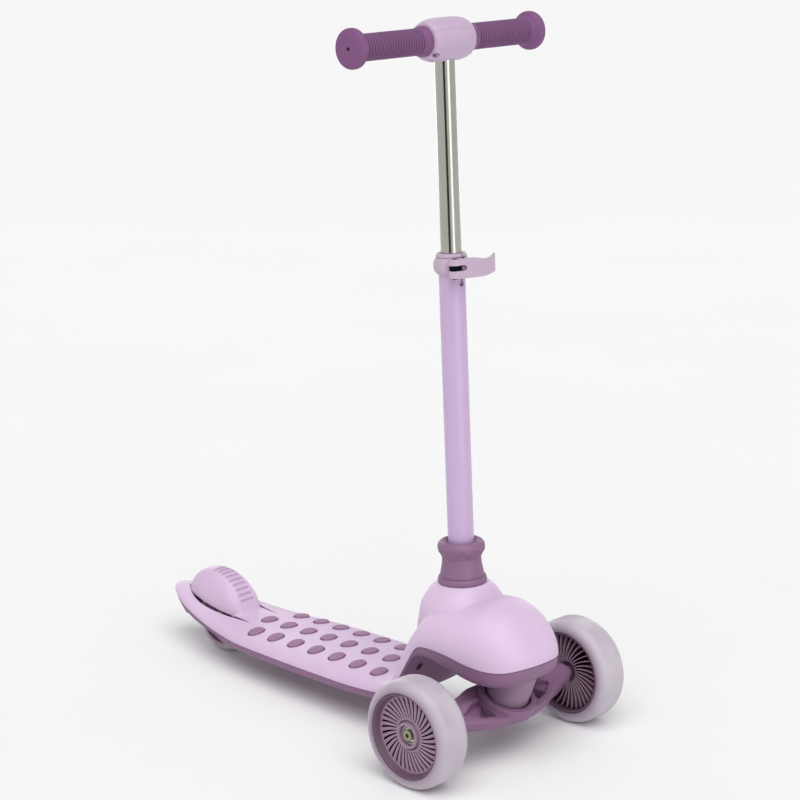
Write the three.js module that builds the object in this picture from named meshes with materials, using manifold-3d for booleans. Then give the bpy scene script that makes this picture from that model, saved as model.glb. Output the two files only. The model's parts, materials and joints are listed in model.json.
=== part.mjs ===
// A three wheel kids scooter that steers by leaning, in millimetres, +Z up.
// Travel is towards -Y. Inside the model, y runs back from the front axle and z up from the floor.
import * as THREE from 'three';
import { mergeVertices } from 'three/addons/utils/BufferGeometryUtils.js';
import Module from 'manifold-3d';

const wasm = await Module();
wasm.setup();

// Clearances and shared sizes
const gap = 0.3;
const runningGap = 0.4;
const overrun = 4;
const shellWall = 3;

// Wheels and axles
const frontWheelRadius = 60;
const frontWheelWidth = 42;
const frontTrack = 258;
const wheelbase = 449;
const rearWheelRadius = 40;
const rearWheelWidth = 33;
const tyreShoulder = 12;
const tyreThickness = 12.5;
const tyreSides = 32;
const hexSides = 6;
const pinSides = 8;
const roundSides = 16;
const fineSides = 20;
const bodySides = 24;
const innerSides = 16;
const neckSides = 16;
const rimWall = 3;
const rimDish = 6;
const rimDishTaper = 3;
const hubWebThickness = 5;
const hubBossRadius = 20;
const slotCount = 36;
const slotWidth = 2.2;
const slotInnerRadius = 19.5;
const slotSweepDegrees = 15;
const bearingRadius = 11;
const bearingBore = 4;
const bearingWidth = 7;
const bearingSeatGap = 0.2;
const bearingRingRadius = 6.5;
const axleRadius = 3.7;
const axleHeadRadius = 6;
const rearHeadRadius = 5.6;
const axleHeadHeight = 5;
const hexSocketRadius = 2.9;
const hexSocketDepth = 3;
const washerRadius = 8.2;
const washerThickness = 1.5;
const axleHeadRecess = 6;

// Body shells
const noseReach = 64;
const tailReach = 92;
const bodyHalfWidth = 66;
const deckOverRearAxle = 22;
const hoodOverFrontAxle = 116;
const noseRoundness = 2.15;
const deckRoundness = 3;
const keelRoundness = 4.5;
const seamStep = 0.8;

// Neck, stem and lock collar
const stemFoot = 45.8;
const stemRakeDegrees = 3.1;
const neckOverHood = 7.2;
const neckDepth = 79;
const neckWidth = 50;
const stemTubeRadius = 14.3;
const stemTubeWall = 2;
const stemTubeTop = 544.5;
const reliefSlotWidth = 2.4;
const reliefHoleRadius = 2;
const reliefDepth = 28.5;
const socketWall = 4;
const socketFloor = 2.5;
const socketFlange = 6;
const socketDepth = 71.2;
const socketStep = 6;
const collarBaseRadius = 27;
const collarBaseHeight = 7.4;
const collarHeight = 40.2;
const collarRimRadius = 26.3;
const collarWaistRadius = 21.5;
const collarFootRadius = 24.2;
const collarWall = 3.2;
const collarLipHeight = 8;
const waistShare = 0.5;
const rimShare = 0.72;
const scallopCount = 12;
const scallopRadius = 5;
const scallopDepth = 1.6;
const colletHeight = 20;
const buttonHalfWidth = 8;
const buttonDepth = 17;
const buttonHeight = 13;
const buttonSlope = 7;
const buttonTravel = 4;

// Height clamp
const clampHeight = 18;
const clampRadius = 19.6;
const clampBulge = 3;
const clampSlitWidth = 3.2;
const clampEarReach = 24.5;
const clampEarHeight = 9;
const clampEarHalfWidth = 7;
const clampBoltRadius = 2.5;
const clampBoltHeadRadius = 3.6;
const clampBoltHeadHeight = 3.2;
const clampBoltOffset = 18.5;
const clampPivotX = 14.5;
const clampPivotRadius = 3.2;
const leverEyeRadius = 6.8;
const leverHeight = 22;
const leverThickness = 3.6;
const leverReachX = 30;
const leverReachY = 33.2;
const leverCorner = 8;
const leverRise = -1.2;
const leverFaceDegrees = 45.5;
const leverSweepDegrees = [-45, 165];
const leverSlotStart = 5.5;
const leverSlotLength = 18;
const leverSlotHeight = 6;
const bushLipRadius = 16.8;
const bushLipHeight = 4;
const bushDepth = 30;
const bushSlitWidth = 2;

// T-bar
const barHeight = 774.2;
const barTubeRadius = 11.1;
const barTubeWall = 1.5;
const innerTubeFoot = 300;
const guideHeight = 16;
const guidePlugHeight = 10;
const barHalfLength = 140.6;
const hubHalfLength = 31;
const hubRadius = 23;
const hubEndRadius = 16.4;
const hubSeamDegrees = 33;
const hubScrewX = 26;
const hubScrewForward = 14.2;
const hubScrewRadius = 2.9;
const hubScrewRecess = 13;
const hubScrewLength = 6;
const gripRadius = 14;
const gripInnerRadius = 16.2;
const gripInnerLength = 8;
const gripFlangeRadius = 21;
const gripFlangeLength = 14;
const gripEndWall = 3;
const gripEndHole = 1.8;

// Steering truck
const kingpinTiltDegrees = 21;
const kingpinAhead = 8.8;
const kingpinRadius = 5;
const kingpinHeadRadius = 8;
const kingpinHeadHeight = 5;
const kingpinNutHeight = 7;
const kingpinWasherThickness = 2;
const kingpinWasherRadius = 9.2;
const housingRadius = 26;
const housingWall = 4;
const beamBottom = 6;
const beamFloor = 8;
const beamRimTop = 14.5;
const beamRimWall = 6;
const thrustWasherThickness = 1.5;
const kingpinBossRadius = 13;
const kingpinBossTop = 54;
const beamFrontReach = 28;
const beamRearReach = 34;
const stubRadius = 12.5;
const stubNoseRadius = 7;
const beamPocketDepth = 9;

// Deck mat and its pads
const matThickness = 2;
const matStartShare = 0.3306;
const matBackMargin = 5;
const matSideMargin = 9;
const padCount = 7;
const padStartMargin = 13;
const padEndMargin = 8.7;
const padRowSpacing = 37;
const padHalfWidth = 12.2;
const padHalfLength = 9.6;
const padProud = 1.2;
const padSides = 10;
const ribThickness = 2.4;
const ribSpacing = 80;

// Rear wheel well, brake fender
const wellHalfWidth = 19.5;
const wellAhead = 47;
const wellBehind = 70;
const wellWall = 3;
const wellTopOverAxle = 5;
const axleBossRadius = 7.5;
const axleBossReach = 25;
const fenderCrest = 55.3;
const fenderCrestBack = 12.5;
const fenderCrestUp = 6.5;
const fenderHalfWidth = 23;
const fenderWidestBehindFront = 24;
const fenderRoundness = 2.5;
const fenderWall = 2.6;
const fenderFootOverAxle = 15;
const fenderRootAhead = 62;
const fenderTongue = 24;
const fenderTongueInset = 1.2;
const fenderOpeningHalf = 28.5;
const fenderOpeningBack = 72;
const fenderOpeningTaper = 81;
const slitWidth = 0.7;
const slitAhead = 6;
const treadCount = 9;
const treadHeight = 1.2;
const treadWidth = 2.6;
const treadHalfLength = 9.5;
const treadStepDegrees = 7.8;
const shoeInnerGap = 3.4;
const shoeHalfWidth = 8;
const shoeHalfLength = 18;

// Arch wall screws
const shellScrewX = 40.8;
const shellScrewHeight = 86.9;
const shellScrewRadius = 3.4;
const shellScrewHoleRadius = 4.7;
const shellScrewDepth = 5;
const shellScrewBossRadius = 7;
const screwReach = 20;

// Values that follow
const bodyLength = noseReach + wheelbase + tailReach;
const lengthCentre = (wheelbase + tailReach - noseReach) / 2;
const deckLevel = rearWheelRadius + deckOverRearAxle;
const hoodLevel = frontWheelRadius + hoodOverFrontAxle;
const neckHeight = hoodLevel + neckOverHood;
const socketBase = neckHeight - socketDepth;
const stemTubeFoot = socketBase + socketStep;
const frontWheelX = frontTrack / 2;
const stemTubeBore = stemTubeRadius - stemTubeWall;
const collarFoot = neckHeight + collarBaseHeight + gap;
const collarTop = collarFoot + collarHeight;
const clampMiddle = stemTubeTop - clampHeight / 2 + gap;
const clampTop = clampMiddle + clampHeight / 2;
const wellFront = wheelbase - wellAhead;
const wellBack = wheelbase + wellBehind;
const fenderRoot = wheelbase - fenderRootAhead;
const matStart = matStartShare * bodyLength - noseReach;
const matEnd = fenderRoot - matBackMargin;
const padFirst = matStart + padStartMargin;
const padPitch = (matEnd - padEndMargin - padFirst) / (padCount - 1 / 2);
const fenderFoot = rearWheelRadius + fenderFootOverAxle;
const fenderMiddle = wheelbase + fenderCrestBack;
const fenderFront = fenderMiddle - fenderCrest;
const fenderBack = fenderMiddle + fenderCrest;
const tongueHalf = fenderHalfWidth - fenderTongueInset;

const radians = degrees => THREE.MathUtils.degToRad(degrees);

// Solid helpers: a closed mesh becomes a solid, and a solid becomes a mesh again
function facesOutwards(points, triangles) {
  let volume = 0;
  const corner = index => new THREE.Vector3().fromArray(points, 3 * index);
  for (let i = 0; i < triangles.length; i += 3) {
    const [a, b, c] = [corner(triangles[i]), corner(triangles[i + 1]), corner(triangles[i + 2])];
    volume += a.dot(b.cross(c));
  }
  return volume > 0;
}

function solid(geometry) {
  const bare = geometry.clone();
  bare.deleteAttribute('normal');
  bare.deleteAttribute('uv');
  const merged = mergeVertices(bare);
  const points = new Float32Array(merged.attributes.position.array);
  const index = merged.index.array;
  const triangles = [];
  for (let i = 0; i < index.length; i += 3) {
    const [a, b, c] = [index[i], index[i + 1], index[i + 2]];
    if (a !== b && b !== c && c !== a) triangles.push(a, b, c);
  }
  if (!facesOutwards(points, triangles)) triangles.reverse();
  const triVerts = new Uint32Array(triangles);
  return new wasm.Manifold(new wasm.Mesh({ numProp: 3, vertProperties: points, triVerts }));
}

const join = (...solids) => solids.reduce((whole, piece) => whole.add(piece));
const cut = (body, ...tools) => tools.reduce((rest, tool) => rest.subtract(tool), body);
const common = (a, b) => a.intersect(b);

function meshOf(name, finish, body) {
  const result = body.getMesh();
  const geometry = new THREE.BufferGeometry();
  geometry.setAttribute('position', new THREE.BufferAttribute(result.vertProperties, 3));
  geometry.setIndex(new THREE.BufferAttribute(result.triVerts, 1));
  geometry.computeVertexNormals();
  const mesh = new THREE.Mesh(geometry, new THREE.MeshStandardMaterial(finish));
  mesh.name = name;
  return mesh;
}

// Shape helpers. A box is given by its low and high corners, a turned shape by [radius, height] pairs.
function box(low, high, matrix = new THREE.Matrix4()) {
  const size = high.map((value, axis) => value - low[axis]);
  const centre = high.map((value, axis) => (value + low[axis]) / 2);
  return solid(new THREE.BoxGeometry(...size).translate(...centre).applyMatrix4(matrix));
}

function turned(profile, sides, matrix = new THREE.Matrix4()) {
  const points = profile.map(([radius, height]) => new THREE.Vector2(radius, height));
  const geometry = new THREE.LatheGeometry(points, sides, Math.PI / sides);
  return solid(geometry.rotateX(Math.PI / 2).applyMatrix4(matrix));
}

function rod(radius, low, high, sides, matrix) {
  return turned([[0, low], [radius, low], [radius, high], [0, high]], sides, matrix);
}

function tube(outer, bore, low, high, sides, matrix) {
  return turned([[bore, low], [outer, low], [outer, high], [bore, high], [bore, low]], sides, matrix);
}

function extruded(shape, low, high, matrix = new THREE.Matrix4(), curveSegments = 10) {
  const settings = { depth: high - low, bevelEnabled: false, curveSegments };
  return solid(new THREE.ExtrudeGeometry(shape, settings).translate(0, 0, low).applyMatrix4(matrix));
}

const outline = points => new THREE.Shape(points.map(([x, y]) => new THREE.Vector2(x, y)));
const at = (x, y, z) => new THREE.Matrix4().makeTranslation(x, y, z);
const alongX = new THREE.Matrix4().makeRotationY(Math.PI / 2);
const alongXAt = (x, y, z) => at(x, y, z).multiply(alongX);

// A loft: a cylinder of unit size whose rings are carried to the given stations
function lofted(stations, around, pointAt) {
  const steps = stations.length - 1;
  const geometry = new THREE.CylinderGeometry(1, 1, 1, around, steps);
  const position = geometry.attributes.position;
  const ringShare = 1 / 2;
  for (let i = 0; i < position.count; i += 1) {
    const [x, y, z] = [position.getX(i), position.getY(i), position.getZ(i)];
    const station = stations[Math.round((ringShare - y) * steps)];
    const onRing = Math.hypot(x, z) > ringShare;
    position.setXYZ(i, ...pointAt(station, onRing ? Math.atan2(x, z) : null));
  }
  return solid(geometry);
}

// The stem leans back and the kingpin leans forward: both frames turn about X
const stemFrame = at(0, stemFoot, 0)
  .multiply(new THREE.Matrix4().makeRotationX(-radians(stemRakeDegrees)));
const kingpinFrame = at(0, 0, frontWheelRadius)
  .multiply(new THREE.Matrix4().makeRotationX(radians(kingpinTiltDegrees)))
  .multiply(at(0, -kingpinAhead, 0));
const sideways = new THREE.Matrix4().makeBasis(
  new THREE.Vector3(0, 1, 0), new THREE.Vector3(0, 0, 1), new THREE.Vector3(1, 0, 0),
);
const barFrame = at(0, 0, barHeight).multiply(alongX);

// Body lines, from the nose tip to the tail tip: the distance along as a share of the body's
// length, the half width as a share of the greatest, then the heights of the seam, the top
// and the keel as shares of the way from the deck level up to the hood level.
const bodyShares = [
  [0, 0.05, 0.5, 0.52, 0.48],
  [0.0116, 0.46, 0.482, 0.659, 0.417],
  [0.0248, 0.63, 0.465, 0.754, 0.373],
  [0.043, 0.76, 0.456, 0.855, 0.342],
  [0.066, 0.86, 0.463, 0.95, 0.329],
  [0.0975, 0.94, 0.492, 1, 0.342],
  [0.139, 0.985, 0.535, 0.971, 0.377],
  [0.18, 1, 0.548, 0.936, 0.404],
  [0.205, 1, 0.527, 0.895, 0.404],
  [0.2165, 0.995, 0.478, 0.855, 0.381],
  [0.231, 0.99, 0.36, 0.773, 0.298],
  [0.2496, 0.985, 0.193, 0.619, 0.132],
  [0.263, 0.98, 0.07, 0.44, 0],
  [0.279, 0.977, -0.031, 0.193, -0.123],
  [0.304, 0.975, -0.092, 0.04, -0.215],
  [0.387, 0.977, -0.136, 0.005, -0.255],
  [0.469, 0.97, -0.149, 0, -0.272],
  [0.602, 0.94, -0.163, -0.022, -0.289],
  [0.717, 0.86, -0.181, -0.048, -0.303],
  [0.767, 0.795, -0.175, -0.048, -0.298],
  [0.8165, 0.72, -0.154, -0.035, -0.286],
  [0.866, 0.635, -0.118, -0.014, -0.258],
  [0.9157, 0.52, -0.079, 0.014, -0.193],
  [0.949, 0.4, -0.048, 0.031, -0.127],
  [0.9736, 0.285, -0.027, 0.04, -0.07],
  [0.992, 0.165, -0.009, 0.035, -0.026],
  [1, 0.05, 0, 0.022, -0.018],
];
const bodyCurve = new THREE.CubicInterpolant(
  bodyShares.map(row => row[0]), bodyShares.flatMap(row => row.slice(1)), 4,
);

const heightAt = share => THREE.MathUtils.lerp(deckLevel, hoodLevel, share);

function bodyLines(y) {
  const share = THREE.MathUtils.clamp((y + noseReach) / bodyLength, 0, 1);
  const [width, seam, top, keel] = bodyCurve.evaluate(share);
  const rise = THREE.MathUtils.clamp(top, 0, 1);
  return {
    halfWidth: width * bodyHalfWidth,
    seam: heightAt(seam),
    top: heightAt(top),
    keel: heightAt(keel),
    roundness: THREE.MathUtils.lerp(deckRoundness, noseRoundness, rise),
  };
}

// The body lines moved inwards by the same distance everywhere, as a rolling ball would
function insetLines(y, inset) {
  const lines = bodyLines(y);
  const turns = 8;
  for (let k = 0; k <= turns; k += 1) {
    const turn = Math.PI * (k / turns);
    const near = bodyLines(y + inset * Math.cos(turn));
    const drop = inset * Math.sin(turn);
    lines.halfWidth = Math.min(lines.halfWidth, near.halfWidth - drop);
    lines.top = Math.min(lines.top, near.top - drop);
    lines.keel = Math.max(lines.keel, near.keel + drop);
  }
  return lines;
}

// A superellipse's coordinate, from the sine or cosine of its turn
const swept = (value, bend) => Math.sign(value) * Math.abs(value) ** bend;
const seamSlack = 0.001;

const stationsFrom = (low, high) => bodyShares
  .map(row => row[0] * bodyLength - noseReach)
  .filter(y => y > low && y < high);

// One loft serves every body shape. On each side of the seam it is a curve out to the top or the
// keel, or a flat face at a fixed distance from the seam.
function bodyLoft(options) {
  const { inset = 0, topInset = inset, flatAbove = null, flatBelow = null } = options;
  const { sideInset = 0, rise = 0, around = innerSides } = options;
  const low = inset - noseReach;
  const high = wheelbase + tailReach - inset;
  const stations = [low, ...stationsFrom(low, high), high];
  return lofted(stations, around, (y, turn) => {
    const [upperLine, lowerLine] = [insetLines(y, topInset), insetLines(y, inset)];
    const middle = lowerLine.seam;
    const ceiling = flatAbove === null ? upperLine.top : middle + flatAbove;
    const floor = flatBelow === null ? lowerLine.keel : middle + flatBelow;
    if (turn === null) return [0, y, (ceiling + floor) / 2 + rise];
    const upper = flatAbove === null ? Math.cos(turn) > seamSlack : Math.cos(turn) > -seamSlack;
    const flat = upper ? flatAbove : flatBelow;
    const reach = upper ? upperLine.top - middle : middle - lowerLine.keel;
    const bend = 2 / (upper ? lowerLine.roundness : keelRoundness);
    const halfWidth = (Math.cos(turn) > -seamSlack ? upperLine : lowerLine).halfWidth - sideInset;
    const x = Math.max(halfWidth, gap) * swept(Math.sin(turn), bend);
    return [x, y, middle + rise + (flat === null ? reach * swept(Math.cos(turn), bend) : flat)];
  });
}

// Everything above the seam, less a drop: it trims the neck
function aboveSeam(drop) {
  const ys = [-noseReach, ...stationsFrom(-noseReach, wheelbase), wheelbase];
  const seam = ys.map(y => [y, bodyLines(y).seam - drop]);
  const ceiling = neckHeight + overrun;
  const side = outline([...seam, [wheelbase, ceiling], [-noseReach, ceiling]]);
  return extruded(side, -bodyHalfWidth, bodyHalfWidth, sideways);
}

// Neck lines in the stem's frame: the height as a share of the neck's height, then the half
// width and half depth as shares of the neck's width, and the backward shift as a share of it
const neckShares = [
  [0, 1, 0.926, 0.076],
  [0.3, 0.978, 0.904, 0.054],
  [0.56, 0.93, 0.862, 0.034],
  [0.75, 0.874, 0.81, 0.02],
  [0.87, 0.768, 0.71, 0.01],
  [0.955, 0.65, 0.634, 0.004],
  [1, 0.552, 0.552, 0],
];
const neckRoundness = 2.5;

function neckLoft(inset) {
  const lowest = neckHeight - neckDepth;
  return lofted(neckShares, neckSides, ([heightShare, widthShare, depthShare, shiftShare], turn) => {
    const drop = heightShare === 1 ? inset : 0;
    const z = lowest + neckDepth * heightShare - drop;
    const shift = shiftShare * neckWidth;
    const place = (x, y) => new THREE.Vector3(x, y + shift, z).applyMatrix4(stemFrame).toArray();
    if (turn === null) return place(0, 0);
    const bend = 2 / neckRoundness;
    return place(
      (widthShare * neckWidth - inset) * swept(Math.sin(turn), bend),
      (depthShare * neckWidth - inset) * swept(Math.cos(turn), bend),
    );
  });
}

// Pads stand in three rows, the middle row half a pitch behind the outer ones
function padPlaces() {
  const places = [];
  for (let row = -1; row <= 1; row += 1) {
    for (let k = 0; k < padCount; k += 1) {
      const shift = row === 0 ? padPitch / 2 : 0;
      places.push([row * padRowSpacing, padFirst + shift + padPitch * k]);
    }
  }
  return places;
}

// A pad stands square to the deck's crowned surface: this frame has its Z along the normal
function padFrame(x, y) {
  const line = bodyLines(y);
  const surface = across => {
    const share = Math.min(Math.abs(across) / line.halfWidth, 1);
    return line.seam + (line.top - line.seam) * (1 - share ** line.roundness) ** (1 / line.roundness);
  };
  const slope = (surface(x + padHalfWidth / 2) - surface(x - padHalfWidth / 2)) / padHalfWidth;
  return at(x, y, surface(x)).multiply(new THREE.Matrix4().makeRotationY(-Math.atan(slope)));
}

function padColumns(grow, low, high) {
  const [across, along] = [padHalfWidth + grow, padHalfLength + grow];
  const oval = new THREE.Shape().absellipse(0, 0, across, along, 0, 2 * Math.PI);
  return join(...padPlaces().map(([x, y]) => extruded(oval, low, high, padFrame(x, y), padSides / 2)));
}

// The opening round the fender: straight sides, a tapering round end, the tongue's own outline
// and a slit on each side of the tongue
function fenderOpening() {
  const back = wheelbase + fenderOpeningBack;
  const mouth = fenderFront - fenderTongueInset;
  const round = back - fenderOpeningTaper;
  const slot = new THREE.Shape().moveTo(-fenderOpeningHalf, mouth).lineTo(fenderOpeningHalf, mouth)
    .lineTo(fenderOpeningHalf, round)
    .absellipse(0, round, fenderOpeningHalf, fenderOpeningTaper, 0, Math.PI, false)
    .lineTo(-fenderOpeningHalf, mouth);
  const ceiling = deckLevel + fenderCrest;
  const slitStart = fenderRoot - slitAhead;
  const slitEdge = tongueHalf + runningGap;
  return join(
    extruded(slot, 0, ceiling, undefined, 7),
    box([-slitEdge, fenderRoot - runningGap, 0], [slitEdge, mouth + overrun, ceiling]),
    box([slitEdge - slitWidth, slitStart, 0], [slitEdge, mouth, ceiling]),
    box([-slitEdge, slitStart, 0], [slitWidth - slitEdge, mouth, ceiling]),
  );
}

function makeTopShell() {
  const outer = join(bodyLoft({ flatBelow: 0, around: bodySides }), common(neckLoft(0), aboveSeam(0)));
  const inner = join(bodyLoft({ inset: shellWall, flatBelow: -overrun }), neckLoft(shellWall));
  const boreRadius = (stemTubeRadius + socketWall + runningGap) / Math.cos(Math.PI / roundSides);
  const neckBore = rod(boreRadius, neckHeight - neckDepth, neckHeight + overrun, roundSides, stemFrame);
  const half = buttonHalfWidth + runningGap;
  const buttonHole = box(
    [-half, stemTubeRadius, neckHeight - buttonHeight - 2 * runningGap],
    [half, neckWidth + overrun, neckHeight + overrun], stemFrame,
  );
  const padHoles = padColumns(runningGap, -2 * overrun, 2 * overrun);
  return cut(outer, inner, neckBore, buttonHole, padHoles, fenderOpening());
}

// The lower shell: a tray under the seam with ribs, the rear wheel's well and the kingpin's boss
function wellBlock(grow, top) {
  const half = wellHalfWidth + grow;
  return box([-half, wellFront - grow, 0], [half, wellBack + grow, top]);
}

function crossRibs() {
  const ribs = [];
  const last = fenderRoot - ribSpacing / 2;
  for (let y = matStart; y < last; y += ribSpacing) {
    ribs.push(box([-bodyHalfWidth, y, 0], [bodyHalfWidth, y + ribThickness, deckLevel]));
  }
  const matUnderside = shellWall + gap + matThickness + gap;
  const room = bodyLoft({ inset: shellWall / 2, topInset: matUnderside, sideInset: seamStep });
  return common(join(...ribs), room);
}

function axleBoss(side) {
  const [low, high] = [side * (wellHalfWidth + wellWall / 2), side * axleBossReach].sort((a, b) => a - b);
  const footShare = -0.333;
  const bossFoot = heightAt(footShare);
  return join(
    rod(axleBossRadius, low, high, roundSides, alongXAt(0, wheelbase, rearWheelRadius)),
    box(
      [low, wheelbase - axleBossRadius, bossFoot - shellWall],
      [high, wheelbase + axleBossRadius, rearWheelRadius],
    ),
  );
}

function makeLowerShell() {
  const tray = cut(
    bodyLoft({ flatAbove: -gap, sideInset: seamStep, around: bodySides }),
    bodyLoft({ inset: shellWall, flatAbove: overrun, sideInset: seamStep }),
  );
  const wellTop = rearWheelRadius + wellTopOverAxle;
  const insideTray = bodyLoft({ inset: shellWall / 2, topInset: shellWall + gap, sideInset: seamStep });
  const axle = alongXAt(0, wheelbase, rearWheelRadius);
  const bossRadius = stemTubeRadius + socketWall + socketFlange;
  const socketBoss = rod(bossRadius, 0, socketBase, fineSides, stemFrame);
  const kingpinBoss = rod(kingpinBossRadius, 0, kingpinBossTop, roundSides, kingpinFrame);
  const bosses = [-1, 1].flatMap(side => [axleBoss(side), screwBoss(side)]);
  const additions = common(
    join(wellBlock(wellWall, wellTop), socketBoss, kingpinBoss, ...bosses), insideTray,
  );
  const axleHole = rod(axleRadius + gap, -bodyHalfWidth, bodyHalfWidth, pinSides, axle);
  const pinTop = kingpinBossTop + overrun;
  const kingpinHole = rod(kingpinRadius + runningGap, 0, pinTop, roundSides, kingpinFrame);
  const headRoom = cut(
    rod(rearHeadRadius + 2 * gap, -bodyHalfWidth / 2, bodyHalfWidth / 2, roundSides, axle),
    rod(bodyHalfWidth, -axleBossReach, axleBossReach, pinSides, axle),
  );
  const tools = [wellBlock(0, deckLevel), axleHole, headRoom, kingpinHole, screwHole(-1), screwHole(1)];
  return cut(join(tray, crossRibs(), additions), ...tools);
}

// The arch wall's screws go in from the front, level with the floor
const screwFace = () => {
  const faceShare = 0.247;
  return faceShare * bodyLength - noseReach;
};
const screwAxis = side => at(side * shellScrewX, screwFace(), shellScrewHeight)
  .multiply(new THREE.Matrix4().makeRotationX(-Math.PI / 2));
const screwBoss = side => rod(
  shellScrewBossRadius, -shellScrewDepth, 2 * shellScrewDepth, pinSides, screwAxis(side),
);

function screwHole(side) {
  return join(
    rod(shellScrewHoleRadius, -screwReach, shellScrewDepth / 2, pinSides, screwAxis(side)),
    rod(shellScrewRadius / 2 + gap, 0, screwReach, pinSides, screwAxis(side)),
  );
}

function makeShellScrew(side) {
  const seat = shellScrewDepth / 2;
  const head = rod(shellScrewRadius, -gap, seat - gap, pinSides, screwAxis(side));
  const shank = rod(shellScrewRadius / 2, 0, seat + shellScrewDepth, pinSides, screwAxis(side));
  const slot = box(
    [-shellScrewRadius, -gap, -overrun], [shellScrewRadius, gap, seat / 2], screwAxis(side),
  );
  return cut(join(head, shank), slot);
}

function makeDeckMat() {
  const plateDrop = shellWall + gap;
  const bounds = box([-bodyHalfWidth, matStart, 0], [bodyHalfWidth, matEnd, hoodLevel]);
  const under = bodyLoft({ inset: plateDrop + matThickness, flatBelow: -2 * overrun });
  const over = bodyLoft({ inset: plateDrop, flatBelow: -overrun, sideInset: matSideMargin });
  const plate = cut(over, under);
  const padFoot = plateDrop + matThickness / 2;
  return join(common(plate, bounds), padColumns(0, -padFoot, padProud));
}

// Brake fender: a hollow teardrop dome on a short tongue of the deck's own skin
function domeHalfWidth(y) {
  const widest = fenderFront + fenderWidestBehindFront;
  const ahead = THREE.MathUtils.clamp((widest - y) / fenderWidestBehindFront, 0, 1);
  const behind = THREE.MathUtils.clamp((y - widest) / (fenderBack - widest), 0, 1);
  return fenderHalfWidth * (1 - ahead ** 3) ** (1 / 3) * (1 - behind ** 2) ** (1 / 2);
}

function domeLoft(inset) {
  const steps = 10;
  const reach = fenderCrest - inset;
  const stations = [];
  for (let k = 0; k <= steps; k += 1) stations.push(fenderMiddle - reach * Math.cos(Math.PI * (k / steps)));
  const axisHeight = rearWheelRadius + fenderCrestUp;
  const base = fenderFoot - (inset > 0 ? overrun : 0);
  return lofted(stations, roundSides, (y, turn) => {
    const rise = Math.sqrt(Math.max(0, reach ** 2 - (y - fenderMiddle) ** 2));
    const top = Math.max(axisHeight + rise, base + gap);
    const halfWidth = Math.max(domeHalfWidth(y) - inset, gap);
    if (turn === null) return [0, y, base];
    const bend = 2 / fenderRoundness;
    const lift = Math.cos(turn) > seamSlack ? swept(Math.cos(turn), bend) : 0;
    return [halfWidth * swept(Math.sin(turn), bend), y, base + (top - base) * lift];
  });
}

function makeFender() {
  const tongueEnd = fenderRoot + fenderTongue;
  const tongueStrip = box([-tongueHalf, fenderRoot, 0], [tongueHalf, tongueEnd, hoodLevel]);
  const skin = cut(
    bodyLoft({ flatBelow: 0, around: bodySides }),
    bodyLoft({ inset: shellWall, flatBelow: -overrun }),
  );
  return cut(join(domeLoft(0), common(skin, tongueStrip), ...treadBars()), domeLoft(fenderWall));
}

function treadBars() {
  const bars = [];
  for (let k = 0; k < treadCount; k += 1) {
    const frame = at(0, fenderMiddle, rearWheelRadius + fenderCrestUp)
      .multiply(new THREE.Matrix4().makeRotationX(radians(treadStepDegrees) * k));
    bars.push(box(
      [-treadHalfLength, -treadWidth / 2, fenderCrest - fenderWall],
      [treadHalfLength, treadWidth / 2, fenderCrest + treadHeight], frame,
    ));
  }
  return bars;
}

function makeBrakeShoe() {
  const axle = alongXAt(0, wheelbase, rearWheelRadius);
  const ring = tube(
    2 * fenderCrest, rearWheelRadius + shoeInnerGap, -shoeHalfWidth, shoeHalfWidth, fineSides, axle,
  );
  const window = box(
    [-shoeHalfWidth, wheelbase - shoeHalfLength, deckLevel],
    [shoeHalfWidth, wheelbase + shoeHalfLength, hoodLevel],
  );
  return common(common(ring, window), domeLoft(fenderWall + gap));
}

// Wheels: turned about their own axle, the outer face towards +Z of the turning frame
function tyreSolid(radius, width, thickness) {
  const flat = radius / Math.cos(Math.PI / tyreSides);
  const half = width / 2;
  const inner = radius - thickness;
  const corner = [[0, 1], [0.5, 0.87], [0.87, 0.5], [1, 0]];
  const side = corner.map(([outShare, downShare]) => [
    flat - tyreShoulder * (1 - downShare),
    half - tyreShoulder + tyreShoulder * outShare,
  ]);
  const lip = [[inner + 2 * gap, half], [inner, half - 2 * gap]];
  const upper = [...side, ...lip];
  const lower = upper.map(([r, x]) => [r, -x]).reverse();
  return turned([...upper, ...lower, upper[0]], tyreSides, alongX);
}

// Slots sweep outwards from a narrow inner end, all round the web
function webSlots(outerRadius, low, high) {
  const slots = [];
  for (let k = 0; k < slotCount; k += 1) {
    const turn = 2 * Math.PI * (k / slotCount);
    const sweep = turn + radians(slotSweepDegrees);
    const [cosine, sine] = [Math.cos(sweep), Math.sin(sweep)];
    const across = slotWidth / 2;
    slots.push(extruded(outline([
      [slotInnerRadius * Math.cos(turn), slotInnerRadius * Math.sin(turn)],
      [outerRadius * cosine + across * sine, outerRadius * sine - across * cosine],
      [outerRadius * cosine - across * sine, outerRadius * sine + across * cosine],
    ]), low, high, alongX));
  }
  return slots;
}

// Along the axle, measured from the wheel's middle towards its outer face
const headTop = frontWheelWidth / 2 - axleHeadRecess;
const washerBase = headTop - axleHeadHeight - washerThickness;
const outerBearingBase = washerBase - gap - bearingWidth;
const innerBearingBase = outerBearingBase - bearingWidth - gap - wheelSpacer();

function wheelSpacer() {
  const spacerShare = 0.16;
  return spacerShare * frontWheelWidth;
}

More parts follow.
